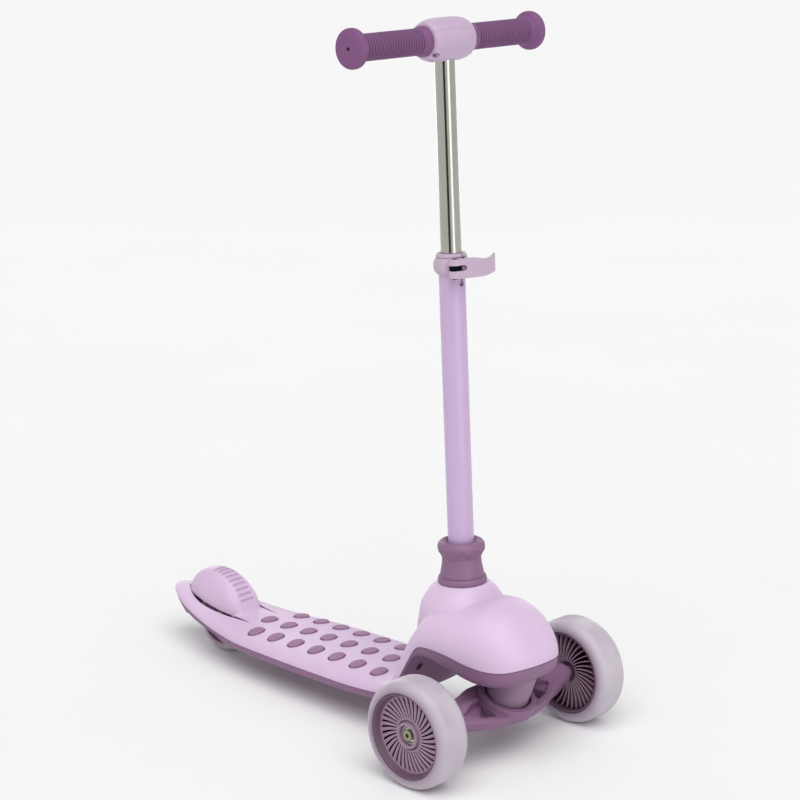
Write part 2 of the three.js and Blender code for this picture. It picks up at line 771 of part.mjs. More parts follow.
function makeFrontHub() {
  const half = frontWheelWidth / 2 - rimWall / 2;
  const rim = frontWheelRadius - tyreThickness - gap;
  const bore = rim - rimWall;
  const face = frontWheelWidth / 2 - rimDish;
  const barrel = turned([
    [bore, -half], [rim, -half], [rim, half], [rim - rimWall / 2, half],
    [rim - rimWall - rimDishTaper, face], [rim - rimWall - rimDishTaper, face - hubWebThickness],
    [bore, face - hubWebThickness - rimWall], [bore, -half],
  ], fineSides, alongX);
  const web = tube(bore, hubBossRadius / 2, face - hubWebThickness, face, fineSides, alongX);
  const seat = bearingRadius + bearingSeatGap;
  const bossFoot = innerBearingBase - gap;
  const boss = rod(seat + rimWall, bossFoot, face + rimWall / 2, fineSides, alongX);
  const spacerWell = bearingRingRadius + 2 * gap;
  const bores = [
    rod(seat, outerBearingBase - gap, frontWheelWidth, fineSides, alongX),
    rod(seat, bossFoot - overrun, innerBearingBase + bearingWidth + gap, fineSides, alongX),
    rod(spacerWell, bossFoot - overrun, frontWheelWidth, roundSides, alongX),
  ];
  const slotOuter = rim - rimWall - rimDishTaper - rimWall / 2;
  const slots = webSlots(slotOuter, face - 2 * hubWebThickness, face + overrun);
  return cut(join(barrel, web, boss), ...bores, ...slots);
}

const makeBearing = base => tube(bearingRadius, bearingBore, base, base + bearingWidth, roundSides, alongX);

function makeWheelSpacer() {
  const low = innerBearingBase + bearingWidth + gap / 2;
  return tube(bearingRingRadius, bearingBore, low, outerBearingBase - gap / 2, roundSides, alongX);
}

function makeAxleBolt(length) {
  const head = rod(axleHeadRadius, headTop - axleHeadHeight, headTop, roundSides, alongX);
  const shank = rod(axleRadius, headTop - length, headTop - axleHeadHeight / 2, roundSides, alongX);
  const socket = rod(hexSocketRadius, headTop - hexSocketDepth, headTop + overrun, hexSides, alongX);
  return cut(join(head, shank), socket);
}

const makeAxleWasher = () => tube(
  washerRadius, bearingBore, washerBase, washerBase + washerThickness - gap, roundSides, alongX,
);

function addFrontWheel(parent, side, hand) {
  const group = new THREE.Group();
  group.position.set(side * frontWheelX, 0, frontWheelRadius);
  group.rotation.z = side > 0 ? 0 : Math.PI;
  const boltLength = frontWheelWidth + frontWheelWidth / 2;
  group.add(
    meshOf(`front_${hand}_tyre`, finishes.tyre, tyreSolid(frontWheelRadius, frontWheelWidth, tyreThickness)),
    meshOf(`front_${hand}_hub`, finishes.mauve, makeFrontHub()),
    meshOf(`front_${hand}_bearing_outer`, finishes.steel, makeBearing(outerBearingBase)),
    meshOf(`front_${hand}_bearing_inner`, finishes.steel, makeBearing(innerBearingBase)),
    meshOf(`front_${hand}_spacer`, finishes.steel, makeWheelSpacer()),
    meshOf(`front_${hand}_axle_bolt`, finishes.chrome, makeAxleBolt(boltLength)),
    meshOf(`front_${hand}_washer`, finishes.steel, makeAxleWasher()),
  );
  parent.add(group);
}

// Rear wheel: a plain hub with two bearings, on a bolt through the lower shell
function makeRearHub() {
  const half = rearWheelWidth / 2 - rimWall;
  const rim = rearWheelRadius - tyreThickness - gap;
  const seat = bearingRadius + bearingSeatGap;
  const groove = turned([
    [seat + rimWall, half - rimWall], [rim - rimWall, half - rimWall], [rim - rimWall, half + overrun],
    [seat + rimWall, half + overrun], [seat + rimWall, half - rimWall],
  ], roundSides, alongX);
  const mirrored = new THREE.Matrix4().makeRotationY(-Math.PI / 2);
  const backGroove = turned([
    [seat + rimWall, half - rimWall], [rim - rimWall, half - rimWall], [rim - rimWall, half + overrun],
    [seat + rimWall, half + overrun], [seat + rimWall, half - rimWall],
  ], roundSides, mirrored);
  const depth = bearingWidth + gap;
  return cut(
    rod(rim, -half, half, fineSides, alongX), groove, backGroove,
    rod(seat, half - depth, half + overrun, roundSides, alongX),
    rod(seat, -half - overrun, depth - half, roundSides, alongX),
    rod(bearingRingRadius, -half, half, roundSides, alongX),
  );
}

function addRearWheel(parent) {
  const group = new THREE.Group();
  group.position.set(0, wheelbase, rearWheelRadius);
  const half = rearWheelWidth / 2 - rimWall;
  const bearingBase = half - bearingWidth;
  const spacer = side => tube(
    bearingRingRadius, bearingBore, half + gap, wellHalfWidth - gap, roundSides,
    side > 0 ? alongX : new THREE.Matrix4().makeRotationY(-Math.PI / 2),
  );
  group.add(
    meshOf('rear_tyre', finishes.tyre, tyreSolid(rearWheelRadius, rearWheelWidth, tyreThickness)),
    meshOf('rear_hub', finishes.mauve, makeRearHub()),
    meshOf('rear_bearing_left', finishes.steel, makeBearing(bearingBase)),
    meshOf('rear_bearing_right', finishes.steel, makeBearing(-half)),
    meshOf('rear_spacer_left', finishes.steel, spacer(1)),
    meshOf('rear_spacer_right', finishes.steel, spacer(-1)),
    meshOf('rear_axle_bolt', finishes.steel, makeRearBolt()),
    meshOf('rear_axle_nut', finishes.steel, makeRearNut()),
  );
  parent.add(group);
}

function makeRearBolt() {
  const seat = axleBossReach + gap;
  const end = seat + axleHeadHeight + washerThickness;
  return join(
    rod(axleRadius, -seat - axleHeadHeight / 2, end, roundSides, alongX),
    rod(rearHeadRadius, -seat - axleHeadHeight, -seat, hexSides, alongX),
  );
}

function makeRearNut() {
  const seat = axleBossReach + gap;
  const bore = rod(axleRadius + gap, seat - overrun, seat + axleHeadHeight + overrun, roundSides, alongX);
  return cut(rod(rearHeadRadius, seat, seat + axleHeadHeight, hexSides, alongX), bore);
}

// Steering truck, in the kingpin's frame: z runs up the kingpin, y back from it
const beamFrontShares = [[0.85, 0.28], [0.65, 0.52], [0.48, 0.76], [0.3, 0.93], [0.14, 0.99]];
const beamRearShares = [[0.8, 0.66], [0.5, 0.8], [0.32, 0.98]];

function beamOutline() {
  const end = frontWheelX - frontWheelWidth / 2 - 2 * runningGap - stubRadius / 2;
  const front = beamFrontShares.map(([across, ahead]) => [end * across, -beamFrontReach * ahead]);
  const rear = beamRearShares.map(([across, behind]) => [end * across, beamRearReach * behind]);
  const tip = [[end, kingpinAhead + stubRadius], [end, kingpinAhead - stubRadius]];
  const right = [...rear.reverse(), ...tip, ...front];
  return outline([...right, ...right.map(([x, y]) => [-x, y]).reverse()]);
}

function makeTruckBeam() {
  const pocket = housingRadius + 2 * runningGap;
  const rim = pocket + beamRimWall;
  const axle = alongXAt(0, kingpinAhead, 0);
  const stubEnd = frontWheelX - frontWheelWidth / 2 - 2 * runningGap;
  const noseEnd = frontWheelX + innerBearingBase - gap;
  const stubs = [-1, 1].map(side => {
    const [low, high] = [side * (housingRadius + 2 * beamRimWall), side * stubEnd].sort((a, b) => a - b);
    const [noseLow, noseHigh] = [side * (stubEnd - overrun), side * noseEnd].sort((a, b) => a - b);
    const nose = rod(stubNoseRadius, noseLow, noseHigh, roundSides, axle);
    return join(rod(stubRadius, low, high, roundSides, axle), nose);
  });
  const ring = [[0, -beamBottom], [pocket, -beamBottom], [rim, 0], [rim, beamRimTop], [0, beamRimTop]];
  const body = join(
    extruded(beamOutline(), -beamBottom, beamFloor), turned(ring, fineSides), ...stubs,
  );
  const triangle = side => extruded(outline([
    [side * (rim + 2 * beamRimWall), beamRimWall / 2],
    [side * rim, -beamFrontReach + 3 * beamRimWall / 2],
    [side * 2 * rim, -beamFrontReach / 3],
  ]), beamFloor - beamPocketDepth, beamRimTop + overrun);
  return cut(
    body, rod(pocket, beamFloor, beamRimTop + overrun, fineSides),
    rod(kingpinRadius + gap, -beamBottom - overrun, beamRimTop, roundSides),
    rod(kingpinHeadRadius + gap, -beamBottom - overrun, -beamBottom + kingpinHeadHeight, hexSides),
    rod(axleRadius + gap, -frontTrack, -2 * housingRadius, pinSides, axle),
    rod(axleRadius + gap, 2 * housingRadius, frontTrack, pinSides, axle),
    triangle(-1), triangle(1),
  );
}

function makeHousing() {
  const low = beamFloor + thrustWasherThickness + 2 * gap;
  const top = kingpinBossTop;
  const floorTop = low + housingWall;
  const raised = turned([
    [kingpinRadius + runningGap, low], [housingRadius, low], [housingRadius, top],
    [housingRadius - housingWall, top], [housingRadius - housingWall, floorTop],
    [kingpinRadius + runningGap, floorTop], [kingpinRadius + runningGap, low],
  ], fineSides, kingpinFrame);
  return cut(raised, bodyLoft({ rise: -gap }), bodyLoft({ flatBelow: 0 }));
}

function makeSteeringBush() {
  const low = beamFloor + thrustWasherThickness + housingWall + 3 * gap;
  const bush = tube(
    housingRadius - housingWall - gap, kingpinRadius + runningGap, low, kingpinBossTop, fineSides,
    kingpinFrame,
  );
  return cut(bush, bodyLoft({ rise: -gap }), bodyLoft({ flatBelow: 0 }));
}

const makeThrustWasher = () => tube(
  housingRadius - gap, kingpinRadius + runningGap,
  beamFloor + gap, beamFloor + gap + thrustWasherThickness, fineSides,
);

function makeKingpin() {
  const headTopLevel = kingpinHeadHeight - beamBottom - gap;
  const end = kingpinBossTop + kingpinWasherThickness + kingpinNutHeight + 3 * gap;
  return join(
    rod(kingpinRadius, headTopLevel - gap, end, roundSides),
    rod(kingpinHeadRadius, headTopLevel - kingpinHeadHeight, headTopLevel, hexSides),
  );
}

const makeKingpinWasher = () => tube(
  kingpinWasherRadius, kingpinRadius + gap,
  kingpinBossTop + gap, kingpinBossTop + gap + kingpinWasherThickness, roundSides,
);

function makeKingpinNut() {
  const low = kingpinBossTop + kingpinWasherThickness + 2 * gap;
  const bore = rod(kingpinRadius + gap, low - overrun, low + kingpinNutHeight + overrun, roundSides);
  return cut(rod(kingpinHeadRadius, low, low + kingpinNutHeight, hexSides), bore);
}

// Stem pieces, all in the stem's frame
function makeStemSocket() {
  const outer = stemTubeRadius + socketWall;
  const bore = stemTubeRadius + runningGap;
  const low = socketBase + gap;
  const flange = outer + socketFlange;
  const top = neckHeight - shellWall;
  const floorTop = stemTubeFoot - gap;
  return turned([
    [0, low], [flange, low], [flange, low + socketFloor], [outer, low + socketFloor],
    [outer, top], [bore, top], [bore, floorTop], [0, floorTop],
  ], fineSides);
}

function makeCollarBase() {
  const bore = stemTubeRadius + runningGap;
  const spigot = stemTubeRadius + socketWall;
  const low = neckHeight + gap;
  const high = neckHeight + collarBaseHeight;
  const chamfer = gap + gap;
  return turned([
    [bore, neckHeight - shellWall + gap], [spigot, neckHeight - shellWall + gap], [spigot, low],
    [collarBaseRadius - chamfer, low], [collarBaseRadius, low + chamfer],
    [collarBaseRadius, high - 2 * chamfer], [collarBaseRadius - chamfer, high],
    [bore, high], [bore, neckHeight - shellWall + gap],
  ], fineSides);
}

function makeLockCollar() {
  const low = collarFoot;
  const top = collarTop;
  const waist = low + collarHeight * waistShare;
  const rimLow = low + collarHeight * rimShare;
  const bore = stemTubeRadius + runningGap;
  const hollow = collarWaistRadius - collarWall;
  const lip = top - collarLipHeight;
  const edge = collarWall / 2;
  const body = turned([
    [hollow, low], [collarFootRadius, low], [collarFootRadius, low + edge],
    [(collarFootRadius + collarWaistRadius) / 2, (low + waist) / 2], [collarWaistRadius, waist],
    [collarWaistRadius + gap, rimLow - collarWall], [collarRimRadius - edge, rimLow],
    [collarRimRadius, rimLow + edge], [collarRimRadius, top - collarWall],
    [collarRimRadius - edge, top - edge / 2], [collarRimRadius - collarWall, top],
    [bore + collarWall, top - edge / 2], [bore, top - edge], [bore, lip], [hollow, lip], [hollow, low],
  ], fineSides);
  const scallops = [];
  for (let k = 0; k < scallopCount; k += 1) {
    const turn = 2 * Math.PI * (k / scallopCount);
    const distance = collarRimRadius + scallopRadius - scallopDepth;
    const place = at(distance * Math.cos(turn), distance * Math.sin(turn), 0);
    scallops.push(rod(scallopRadius, waist, rimLow + 2 * edge, hexSides, place));
  }
  return cut(body, ...scallops);
}

function makeCollet() {
  const bore = stemTubeRadius + gap;
  const outer = collarWaistRadius - collarWall - gap;
  const low = collarFoot + gap;
  const ring = turned([
    [bore, low], [outer, low], [outer, low + colletHeight / 2],
    [(outer + bore) / 2, low + colletHeight], [bore, low + colletHeight], [bore, low],
  ], fineSides);
  const slit = box([-reliefSlotWidth / 2, 0, 0], [reliefSlotWidth / 2, collarRimRadius, collarTop]);
  return cut(ring, slit);
}

function makeReleaseButton() {
  const front = stemTubeRadius + socketWall + buttonTravel + runningGap;
  const high = neckHeight - runningGap;
  const low = high - buttonHeight;
  const back = front + buttonDepth;
  const side = outline([
    [front, low], [back, low], [back, high - buttonSlope], [back - buttonSlope, high - runningGap],
    [front, high - runningGap],
  ]);
  return extruded(side, -buttonHalfWidth, buttonHalfWidth, sideways);
}

function makeOuterTube() {
  const keyhole = stemTubeTop - reliefDepth;
  const forward = new THREE.Matrix4().makeRotationX(Math.PI / 2);
  const slotHalf = reliefSlotWidth / 2;
  return cut(
    tube(stemTubeRadius, stemTubeBore, stemTubeFoot, stemTubeTop, fineSides),
    box([-slotHalf, -stemTubeRadius - overrun, keyhole], [slotHalf, 0, stemTubeTop + overrun]),
    rod(reliefHoleRadius, 0, stemTubeRadius + overrun, pinSides, at(0, 0, keyhole).multiply(forward)),
  );
}

function makeTubeBush() {
  const outer = stemTubeBore - gap;
  const bore = barTubeRadius + gap;
  const low = stemTubeTop - bushDepth;
  const seat = clampTop + gap;
  const slitHalf = bushSlitWidth / 2;
  const slitTop = seat + bushLipHeight + overrun;
  const body = turned([
    [bore, low], [outer, low], [outer, seat], [bushLipRadius, seat],
    [bushLipRadius, seat + bushLipHeight / 2], [bushLipRadius - bushLipHeight / 2, seat + bushLipHeight],
    [bore, seat + bushLipHeight], [bore, low],
  ], fineSides);
  return cut(body, box([-slitHalf, -clampRadius - overrun, low - overrun], [slitHalf, 0, slitTop]));
}

function makeClampCollar() {
  const bore = stemTubeRadius + gap;
  const [low, high] = [clampMiddle - clampHeight / 2, clampMiddle + clampHeight / 2];
  const ring = turned([
    [bore, low], [clampRadius - clampBulge, low], [clampRadius, clampMiddle - clampHeight / 4],
    [clampRadius, clampMiddle + clampHeight / 4], [clampRadius - clampBulge, high], [bore, high], [bore, low],
  ], fineSides);
  const ears = box(
    [-clampEarHalfWidth, -clampEarReach, clampMiddle - clampEarHeight / 2],
    [clampEarHalfWidth, -stemTubeRadius - stemTubeWall, clampMiddle + clampEarHeight / 2],
  );
  const boltAxis = alongXAt(0, -clampBoltOffset, clampMiddle);
  const boltHole = join(
    rod(clampBoltRadius + gap, -clampRadius, clampRadius, pinSides, boltAxis),
    rod(clampBoltHeadRadius + gap, clampEarHalfWidth, clampRadius, pinSides, boltAxis),
  );
  const leverRoom = rod(
    leverEyeRadius + runningGap, low - overrun, high + overrun, roundSides,
    at(-clampPivotX, -clampBoltOffset, 0),
  );
  const slitHalf = clampSlitWidth / 2;
  const slit = box([-slitHalf, -clampEarReach - overrun, low - overrun], [slitHalf, 0, high + overrun]);
  return cut(join(ring, ears), boltHole, leverRoom, slit);
}

function makeClampBolt() {
  const axis = alongXAt(0, -clampBoltOffset, clampMiddle);
  const seat = clampEarHalfWidth + gap;
  const foot = clampPivotRadius + gap - clampPivotX;
  return join(
    rod(clampBoltRadius, foot, seat + clampBoltHeadHeight / 2, pinSides, axis),
    rod(clampBoltHeadRadius, seat, seat + clampBoltHeadHeight, pinSides, axis),
  );
}

const leverMiddle = clampMiddle + leverRise;

const makeClampPivot = () => rod(
  clampPivotRadius, leverMiddle - leverHeight / 2, leverMiddle + leverHeight / 2, pinSides,
  at(-clampPivotX, -clampBoltOffset, 0),
);

// The lever: an eye round the pivot, and a strap that crosses in front of the ears to a free tip
function leverOutline() {
  const front = clampEarReach + runningGap;
  const [x, y] = [-clampPivotX, -clampBoltOffset];
  const shape = new THREE.Shape();
  const tip = [leverReachX, -leverReachY];
  shape.moveTo(x, y - leverEyeRadius);
  const half = leverThickness / 2;
  shape.quadraticCurveTo(clampEarHalfWidth, -front - leverThickness - half, tip[0], tip[1] - half);
  shape.absarc(tip[0], tip[1], half, -Math.PI / 2, Math.PI / 2, false);
  shape.quadraticCurveTo(clampEarHalfWidth + leverThickness, -front - half, x + leverEyeRadius, -front);
  shape.lineTo(x + leverEyeRadius, y);
  shape.absarc(x, y, leverEyeRadius, 0, 3 * Math.PI / 2, false);
  return shape;
}

function makeClampLever() {
  const [low, high] = [leverMiddle - leverHeight / 2, leverMiddle + leverHeight / 2];
  const pivot = [-clampPivotX, -clampBoltOffset];
  const halfSlot = leverSlotHeight / 2;
  const sweep = new THREE.Shape().moveTo(0, 0)
    .absarc(0, 0, leverEyeRadius + overrun, ...leverSweepDegrees.map(radians), false).lineTo(0, 0);
  const facing = at(...pivot, clampMiddle)
    .multiply(new THREE.Matrix4().makeRotationZ(-radians(leverFaceDegrees)))
    .multiply(new THREE.Matrix4().makeRotationX(Math.PI / 2));
  const [left, right] = [-leverSlotStart + halfSlot, leverSlotLength - leverSlotStart - halfSlot];
  const slot = new THREE.Shape().moveTo(left, -halfSlot).lineTo(right, -halfSlot)
    .absarc(right, 0, halfSlot, -Math.PI / 2, Math.PI / 2, false).lineTo(left, halfSlot)
    .absarc(left, 0, halfSlot, Math.PI / 2, 3 * Math.PI / 2, false);
  return cut(
    common(extruded(leverOutline(), low, high, undefined, 8), leverFace(low, high)),
    rod(clampPivotRadius + runningGap, low - overrun, high + overrun, roundSides, at(...pivot, 0)),
    extruded(sweep, clampMiddle - halfSlot, clampMiddle + halfSlot, at(...pivot, 0), 8),
    extruded(slot, 0, clampEarReach, facing, 5),
  );
}

// The strap seen from the front, with the tip's lower corner rounded off
function leverFace(low, high) {
  const reach = leverReachX + leverThickness;
  const face = new THREE.Shape().moveTo(-reach, low).lineTo(reach - leverCorner, low)
    .quadraticCurveTo(reach, low, reach, low + leverCorner).lineTo(reach, high).lineTo(-reach, high);
  const upright = new THREE.Matrix4().makeRotationX(Math.PI / 2);
  return extruded(face, 0, leverReachY + overrun, upright, 4);
}

// T-bar pieces: the upright tube, its foot guide, the cross tube, two hub halves and the grips
function makeInnerTube() {
  const crossCut = rod(barTubeRadius + gap, -hubHalfLength, hubHalfLength, fineSides, barFrame);
  const top = barHeight - barTubeRadius / 2;
  return cut(tube(barTubeRadius, barTubeRadius - barTubeWall, innerTubeFoot, top, fineSides), crossCut);
}

function makeTubeGuide() {
  const plug = barTubeRadius - barTubeWall - gap;
  const shoulder = innerTubeFoot - gap;
  const low = shoulder - guideHeight;
  return turned([
    [0, low], [stemTubeBore - gap - gap, low], [stemTubeBore - gap, low + overrun],
    [stemTubeBore - gap, shoulder],
    [plug, shoulder], [plug, shoulder + guidePlugHeight], [0, shoulder + guidePlugHeight],
  ], fineSides);
}

function makeCrossbar() {
  const half = barHalfLength - gripEndWall - gap;
  return tube(barTubeRadius, barTubeRadius - barTubeWall, -half, half, fineSides, barFrame);
}

const hubShares = [[1, 0], [0.93, 0.4], [0.7, 0.8], [0.35, 1]];

function hubProfile() {
  const right = hubShares.map(([alongShare, outShare]) => [
    THREE.MathUtils.lerp(hubEndRadius, hubRadius, outShare), hubHalfLength * alongShare,
  ]);
  const left = right.map(([r, x]) => [r, -x]).reverse();
  return [[0, hubHalfLength], ...right, ...left, [0, -hubHalfLength]];
}

// The seam plane holds the bar's axis: its normal points forward and down
function hubPlane() {
  return at(0, 0, barHeight).multiply(new THREE.Matrix4().makeRotationX(radians(hubSeamDegrees)));
}

function screwFrame(side) {
  return hubPlane().multiply(at(side * hubScrewX, -hubScrewForward, 0));
}

function hubHalf(sign) {
  const limit = 2 * hubRadius;
  const [low, high] = sign < 0 ? [-limit, -gap / 2] : [gap / 2, limit];
  const half = box([-limit, -limit, low], [limit, limit, high], hubPlane());
  const barBore = rod(barTubeRadius + gap, -limit, limit, fineSides, barFrame);
  const stemBore = rod(barTubeRadius + gap, barHeight - limit, barHeight, fineSides);
  const recesses = [-1, 1].map(side => join(
    rod(hubScrewRadius + gap, -limit, -hubScrewRecess / 2, pinSides, screwFrame(side)),
    rod(hubScrewRadius / 2 + gap, -limit, hubScrewLength, pinSides, screwFrame(side)),
  ));
  return cut(common(turned(hubProfile(), fineSides, barFrame), half), barBore, stemBore, ...recesses);
}

function makeHubScrew(side) {
  const seat = -hubScrewRecess / 2 - gap;
  const head = rod(hubScrewRadius, seat - hubScrewRadius, seat, pinSides, screwFrame(side));
  const shank = rod(hubScrewRadius / 2, seat - gap, hubScrewLength - gap, pinSides, screwFrame(side));
  return join(head, shank);
}

function makeGrip(side) {
  const bore = barTubeRadius + gap;
  const start = hubHalfLength + gap;
  const end = barHalfLength;
  const ribStart = start + gripInnerLength;
  const flange = end - gripFlangeLength;
  const edge = gripEndWall / 2;
  const floor = end - gripEndWall;
  return turned([
    [bore, start], [gripInnerRadius, start], [gripInnerRadius, start + gripInnerLength / 2],
    [gripRadius, ribStart], [gripRadius, flange - edge], [gripFlangeRadius - edge, flange + edge],
    [gripFlangeRadius, flange + 3 * edge], [gripFlangeRadius, end - 2 * edge],
    [gripFlangeRadius - edge, end], [gripEndHole, end], [gripEndHole, floor], [bore, floor], [bore, start],
  ], roundSides, at(0, 0, barHeight).multiply(new THREE.Matrix4().makeRotationY(side * Math.PI / 2)));
}

// Finishes, from the photograph
const finishes = {
  lilac: { color: 0xd6bede, roughness: 0.45, metalness: 0 },
  paint: { color: 0xcbb0da, roughness: 0.35, metalness: 0 },
  mauve: { color: 0x947091, roughness: 0.55, metalness: 0 },
  rubber: { color: 0x886088, roughness: 0.75, metalness: 0 },
  tyre: { color: 0xcdc6d4, roughness: 0.35, metalness: 0 },
  chrome: { color: 0xc9cbc6, roughness: 0.15, metalness: 1 },
  steel: { color: 0x9b9c9a, roughness: 0.35, metalness: 1 },
  nylon: { color: 0x5b4a5e, roughness: 0.6, metalness: 0 },
};

function addBody(parent) {
  parent.add(
    meshOf('deck_top_shell', finishes.lilac, makeTopShell()),
    meshOf('lower_shell', finishes.mauve, makeLowerShell()),
    meshOf('deck_mat', finishes.rubber, makeDeckMat()),
    meshOf('brake_fender', finishes.lilac, makeFender()),
    meshOf('brake_shoe', finishes.nylon, makeBrakeShoe()),
    meshOf('shell_screw_left', finishes.steel, makeShellScrew(1)),
    meshOf('shell_screw_right', finishes.steel, makeShellScrew(-1)),
    meshOf('steering_housing', finishes.mauve, makeHousing()),
    meshOf('steering_bush', finishes.rubber, makeSteeringBush()),
  );
}

function addTruck(parent) {
  const group = new THREE.Group();
  group.applyMatrix4(kingpinFrame);
  group.add(
    meshOf('truck_beam', finishes.mauve, makeTruckBeam()),
    meshOf('thrust_washer', finishes.nylon, makeThrustWasher()),
    meshOf('kingpin_bolt', finishes.steel, makeKingpin()),
    meshOf('kingpin_washer', finishes.steel, makeKingpinWasher()),
    meshOf('kingpin_nut', finishes.steel, makeKingpinNut()),
  );
  parent.add(group);
}

function addStem(parent) {
  const group = new THREE.Group();
  group.applyMatrix4(stemFrame);
  group.add(
    meshOf('stem_socket', finishes.nylon, makeStemSocket()),
    meshOf('collar_base', finishes.mauve, makeCollarBase()),
    meshOf('lock_collar', finishes.mauve, makeLockCollar()),
    meshOf('collet', finishes.nylon, makeCollet()),
    meshOf('release_button', finishes.mauve, makeReleaseButton()),
    meshOf('outer_tube', finishes.paint, makeOuterTube()),
    meshOf('tube_bush', finishes.lilac, makeTubeBush()),
    meshOf('clamp_collar', finishes.lilac, makeClampCollar()),
    meshOf('clamp_bolt', finishes.steel, makeClampBolt()),
    meshOf('clamp_pivot', finishes.steel, makeClampPivot()),
    meshOf('clamp_lever', finishes.lilac, makeClampLever()),
    meshOf('inner_tube', finishes.chrome, makeInnerTube()),
    meshOf('tube_guide', finishes.nylon, makeTubeGuide()),
    meshOf('crossbar', finishes.chrome, makeCrossbar()),
    meshOf('bar_hub_front', finishes.lilac, hubHalf(-1)),
    meshOf('bar_hub_rear', finishes.lilac, hubHalf(1)),
    meshOf('hub_screw_left', finishes.steel, makeHubScrew(1)),
    meshOf('hub_screw_right', finishes.steel, makeHubScrew(-1)),
    meshOf('grip_left', finishes.rubber, makeGrip(1)),
    meshOf('grip_right', finishes.rubber, makeGrip(-1)),
  );
  parent.add(group);
}

const scooter = new THREE.Group();
scooter.position.y = -lengthCentre;
addBody(scooter);
addTruck(scooter);
addFrontWheel(scooter, 1, 'left');
addFrontWheel(scooter, -1, 'right');
addRearWheel(scooter);
addStem(scooter);

export default scooter;
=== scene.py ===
# %% [markdown]
# # A toddler's lean-to-steer scooter
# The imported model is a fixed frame: it says where every piece is and what it moves with. Here each
# piece that can be seen is made again with finer curves from the same sizes, and takes its place.
# Lengths are in millimetres, y runs back from the front axle and z up from the floor.

# %% The frame and the common sizes
import json
import math

import bmesh
import bpy
import numpy as np
from mathutils import Matrix, Vector


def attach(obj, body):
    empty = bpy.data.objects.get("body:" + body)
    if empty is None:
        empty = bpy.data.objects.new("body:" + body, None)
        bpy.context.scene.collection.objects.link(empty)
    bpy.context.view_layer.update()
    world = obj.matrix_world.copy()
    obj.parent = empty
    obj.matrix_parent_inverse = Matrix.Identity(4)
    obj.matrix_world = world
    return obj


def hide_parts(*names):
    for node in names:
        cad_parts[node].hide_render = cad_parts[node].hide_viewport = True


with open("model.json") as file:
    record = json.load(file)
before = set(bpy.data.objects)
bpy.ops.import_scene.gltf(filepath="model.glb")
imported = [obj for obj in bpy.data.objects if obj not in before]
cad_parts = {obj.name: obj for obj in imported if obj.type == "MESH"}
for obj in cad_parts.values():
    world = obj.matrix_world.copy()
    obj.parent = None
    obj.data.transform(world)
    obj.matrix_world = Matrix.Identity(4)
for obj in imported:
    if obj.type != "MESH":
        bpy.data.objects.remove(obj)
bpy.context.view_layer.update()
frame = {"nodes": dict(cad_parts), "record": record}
MM = 0.001
AXLE_TO_CENTRE = 238.5
GAP, SEAM_GAP, WALL = 0.3, 0.8, 3.0
FRONT_RADIUS, REAR_RADIUS = 60.0, 40.0
TRACK_HALF, REAR_AXLE = 129.0, 449.0
STEM_FOOT, STEM_LEAN, BAR_HEIGHT = 45.8, 3.1, 774.2
PIN_BEHIND, PIN_LEAN = 8.8, 21.0

# %% [markdown]
# ## Tools for surfaces
# A moulded or turned piece is a grid of points: each row is a closed loop, and the rows follow one
# another along the piece. Two rows beside each other are joined by four-sided faces, and the first
# and last rows are closed by a flat face. A ring, such as a washer, joins its last row and first.

# %% Grids become pieces
MERGE = 2e-6


def grid_faces(rows, columns, start, ring):
    """Faces between neighbouring rows of a grid whose rows are closed loops."""
    index = start + np.arange(rows * columns).reshape(rows, columns)
    low = index if ring else index[:-1]
    high = np.roll(index, -1, 0) if ring else index[1:]
    quads = np.stack([low, np.roll(low, -1, 1), np.roll(high, -1, 1), high], -1)
    caps = [] if ring else [index[0, ::-1].tolist(), index[-1].tolist()]
    return quads.reshape(-1, 4).tolist() + caps


def soften(mesh, degrees):
    """Smooth shading, broken where two faces meet at more than the angle."""
    mesh.polygons.foreach_set("use_smooth", np.ones(len(mesh.polygons), bool))
    mesh.set_sharp_from_angle(angle=math.radians(degrees))


def linked(name, data):
    """A new object in the scene."""
    thing = bpy.data.objects.new(name, data)
    bpy.context.scene.collection.objects.link(thing)
    return thing


def shell(name, *grids, ring=False, degrees=35):
    """One piece from grids in millimetres: merged, faces out, placed in the frame's metres."""
    points, faces, start = [], [], 0
    for grid in grids:
        rows, columns = grid.shape[:2]
        points.append(grid.reshape(-1, 3))
        faces += grid_faces(rows, columns, start, ring)
        start += rows * columns
    placed = (np.concatenate(points) - (0, AXLE_TO_CENTRE, 0)) * MM
    mesh = bpy.data.meshes.new(name)
    mesh.from_pydata(placed.tolist(), [], faces)
    work = bmesh.new()
    work.from_mesh(mesh)
    bmesh.ops.remove_doubles(work, verts=work.verts, dist=MERGE)
    bmesh.ops.recalc_face_normals(work, faces=work.faces)
    work.to_mesh(mesh)
    work.free()
    soften(mesh, degrees)
    return linked(name, mesh)


# %% Cutting, joining and measuring
def combined(piece, *others, how="DIFFERENCE", degrees=35):
    """The others are cut from the piece, joined to it or shared with it, and are used up."""
    for other in others:
        step = piece.modifiers.new("step", "BOOLEAN")
        step.operation, step.object, step.solver = how, other, "MANIFOLD"
    graph = bpy.context.evaluated_depsgraph_get()
    mesh = bpy.data.meshes.new_from_object(piece.evaluated_get(graph))
    piece.modifiers.clear()
    piece.data = mesh
    for other in others:
        bpy.data.objects.remove(other)
    soften(mesh, degrees)
    return piece


def tell(*pieces):
    """Prints each piece's faces and its width, depth and height in millimetres."""
    for piece in pieces:
        places = np.empty(3 * len(piece.data.vertices), np.float32)
        piece.data.vertices.foreach_get("co", places)
        size = np.ptp(places.reshape(-1, 3), axis=0) / MM
        print(piece.name, len(piece.data.polygons), "faces", [round(float(v), 1) for v in size])


# %% [markdown]
# Most pieces stand in a frame of their own: the stem leans back by 3.1 degrees, the steering pin
# leans forward by 21, and a wheel turns about a sideways axle. A frame is a four by four matrix.


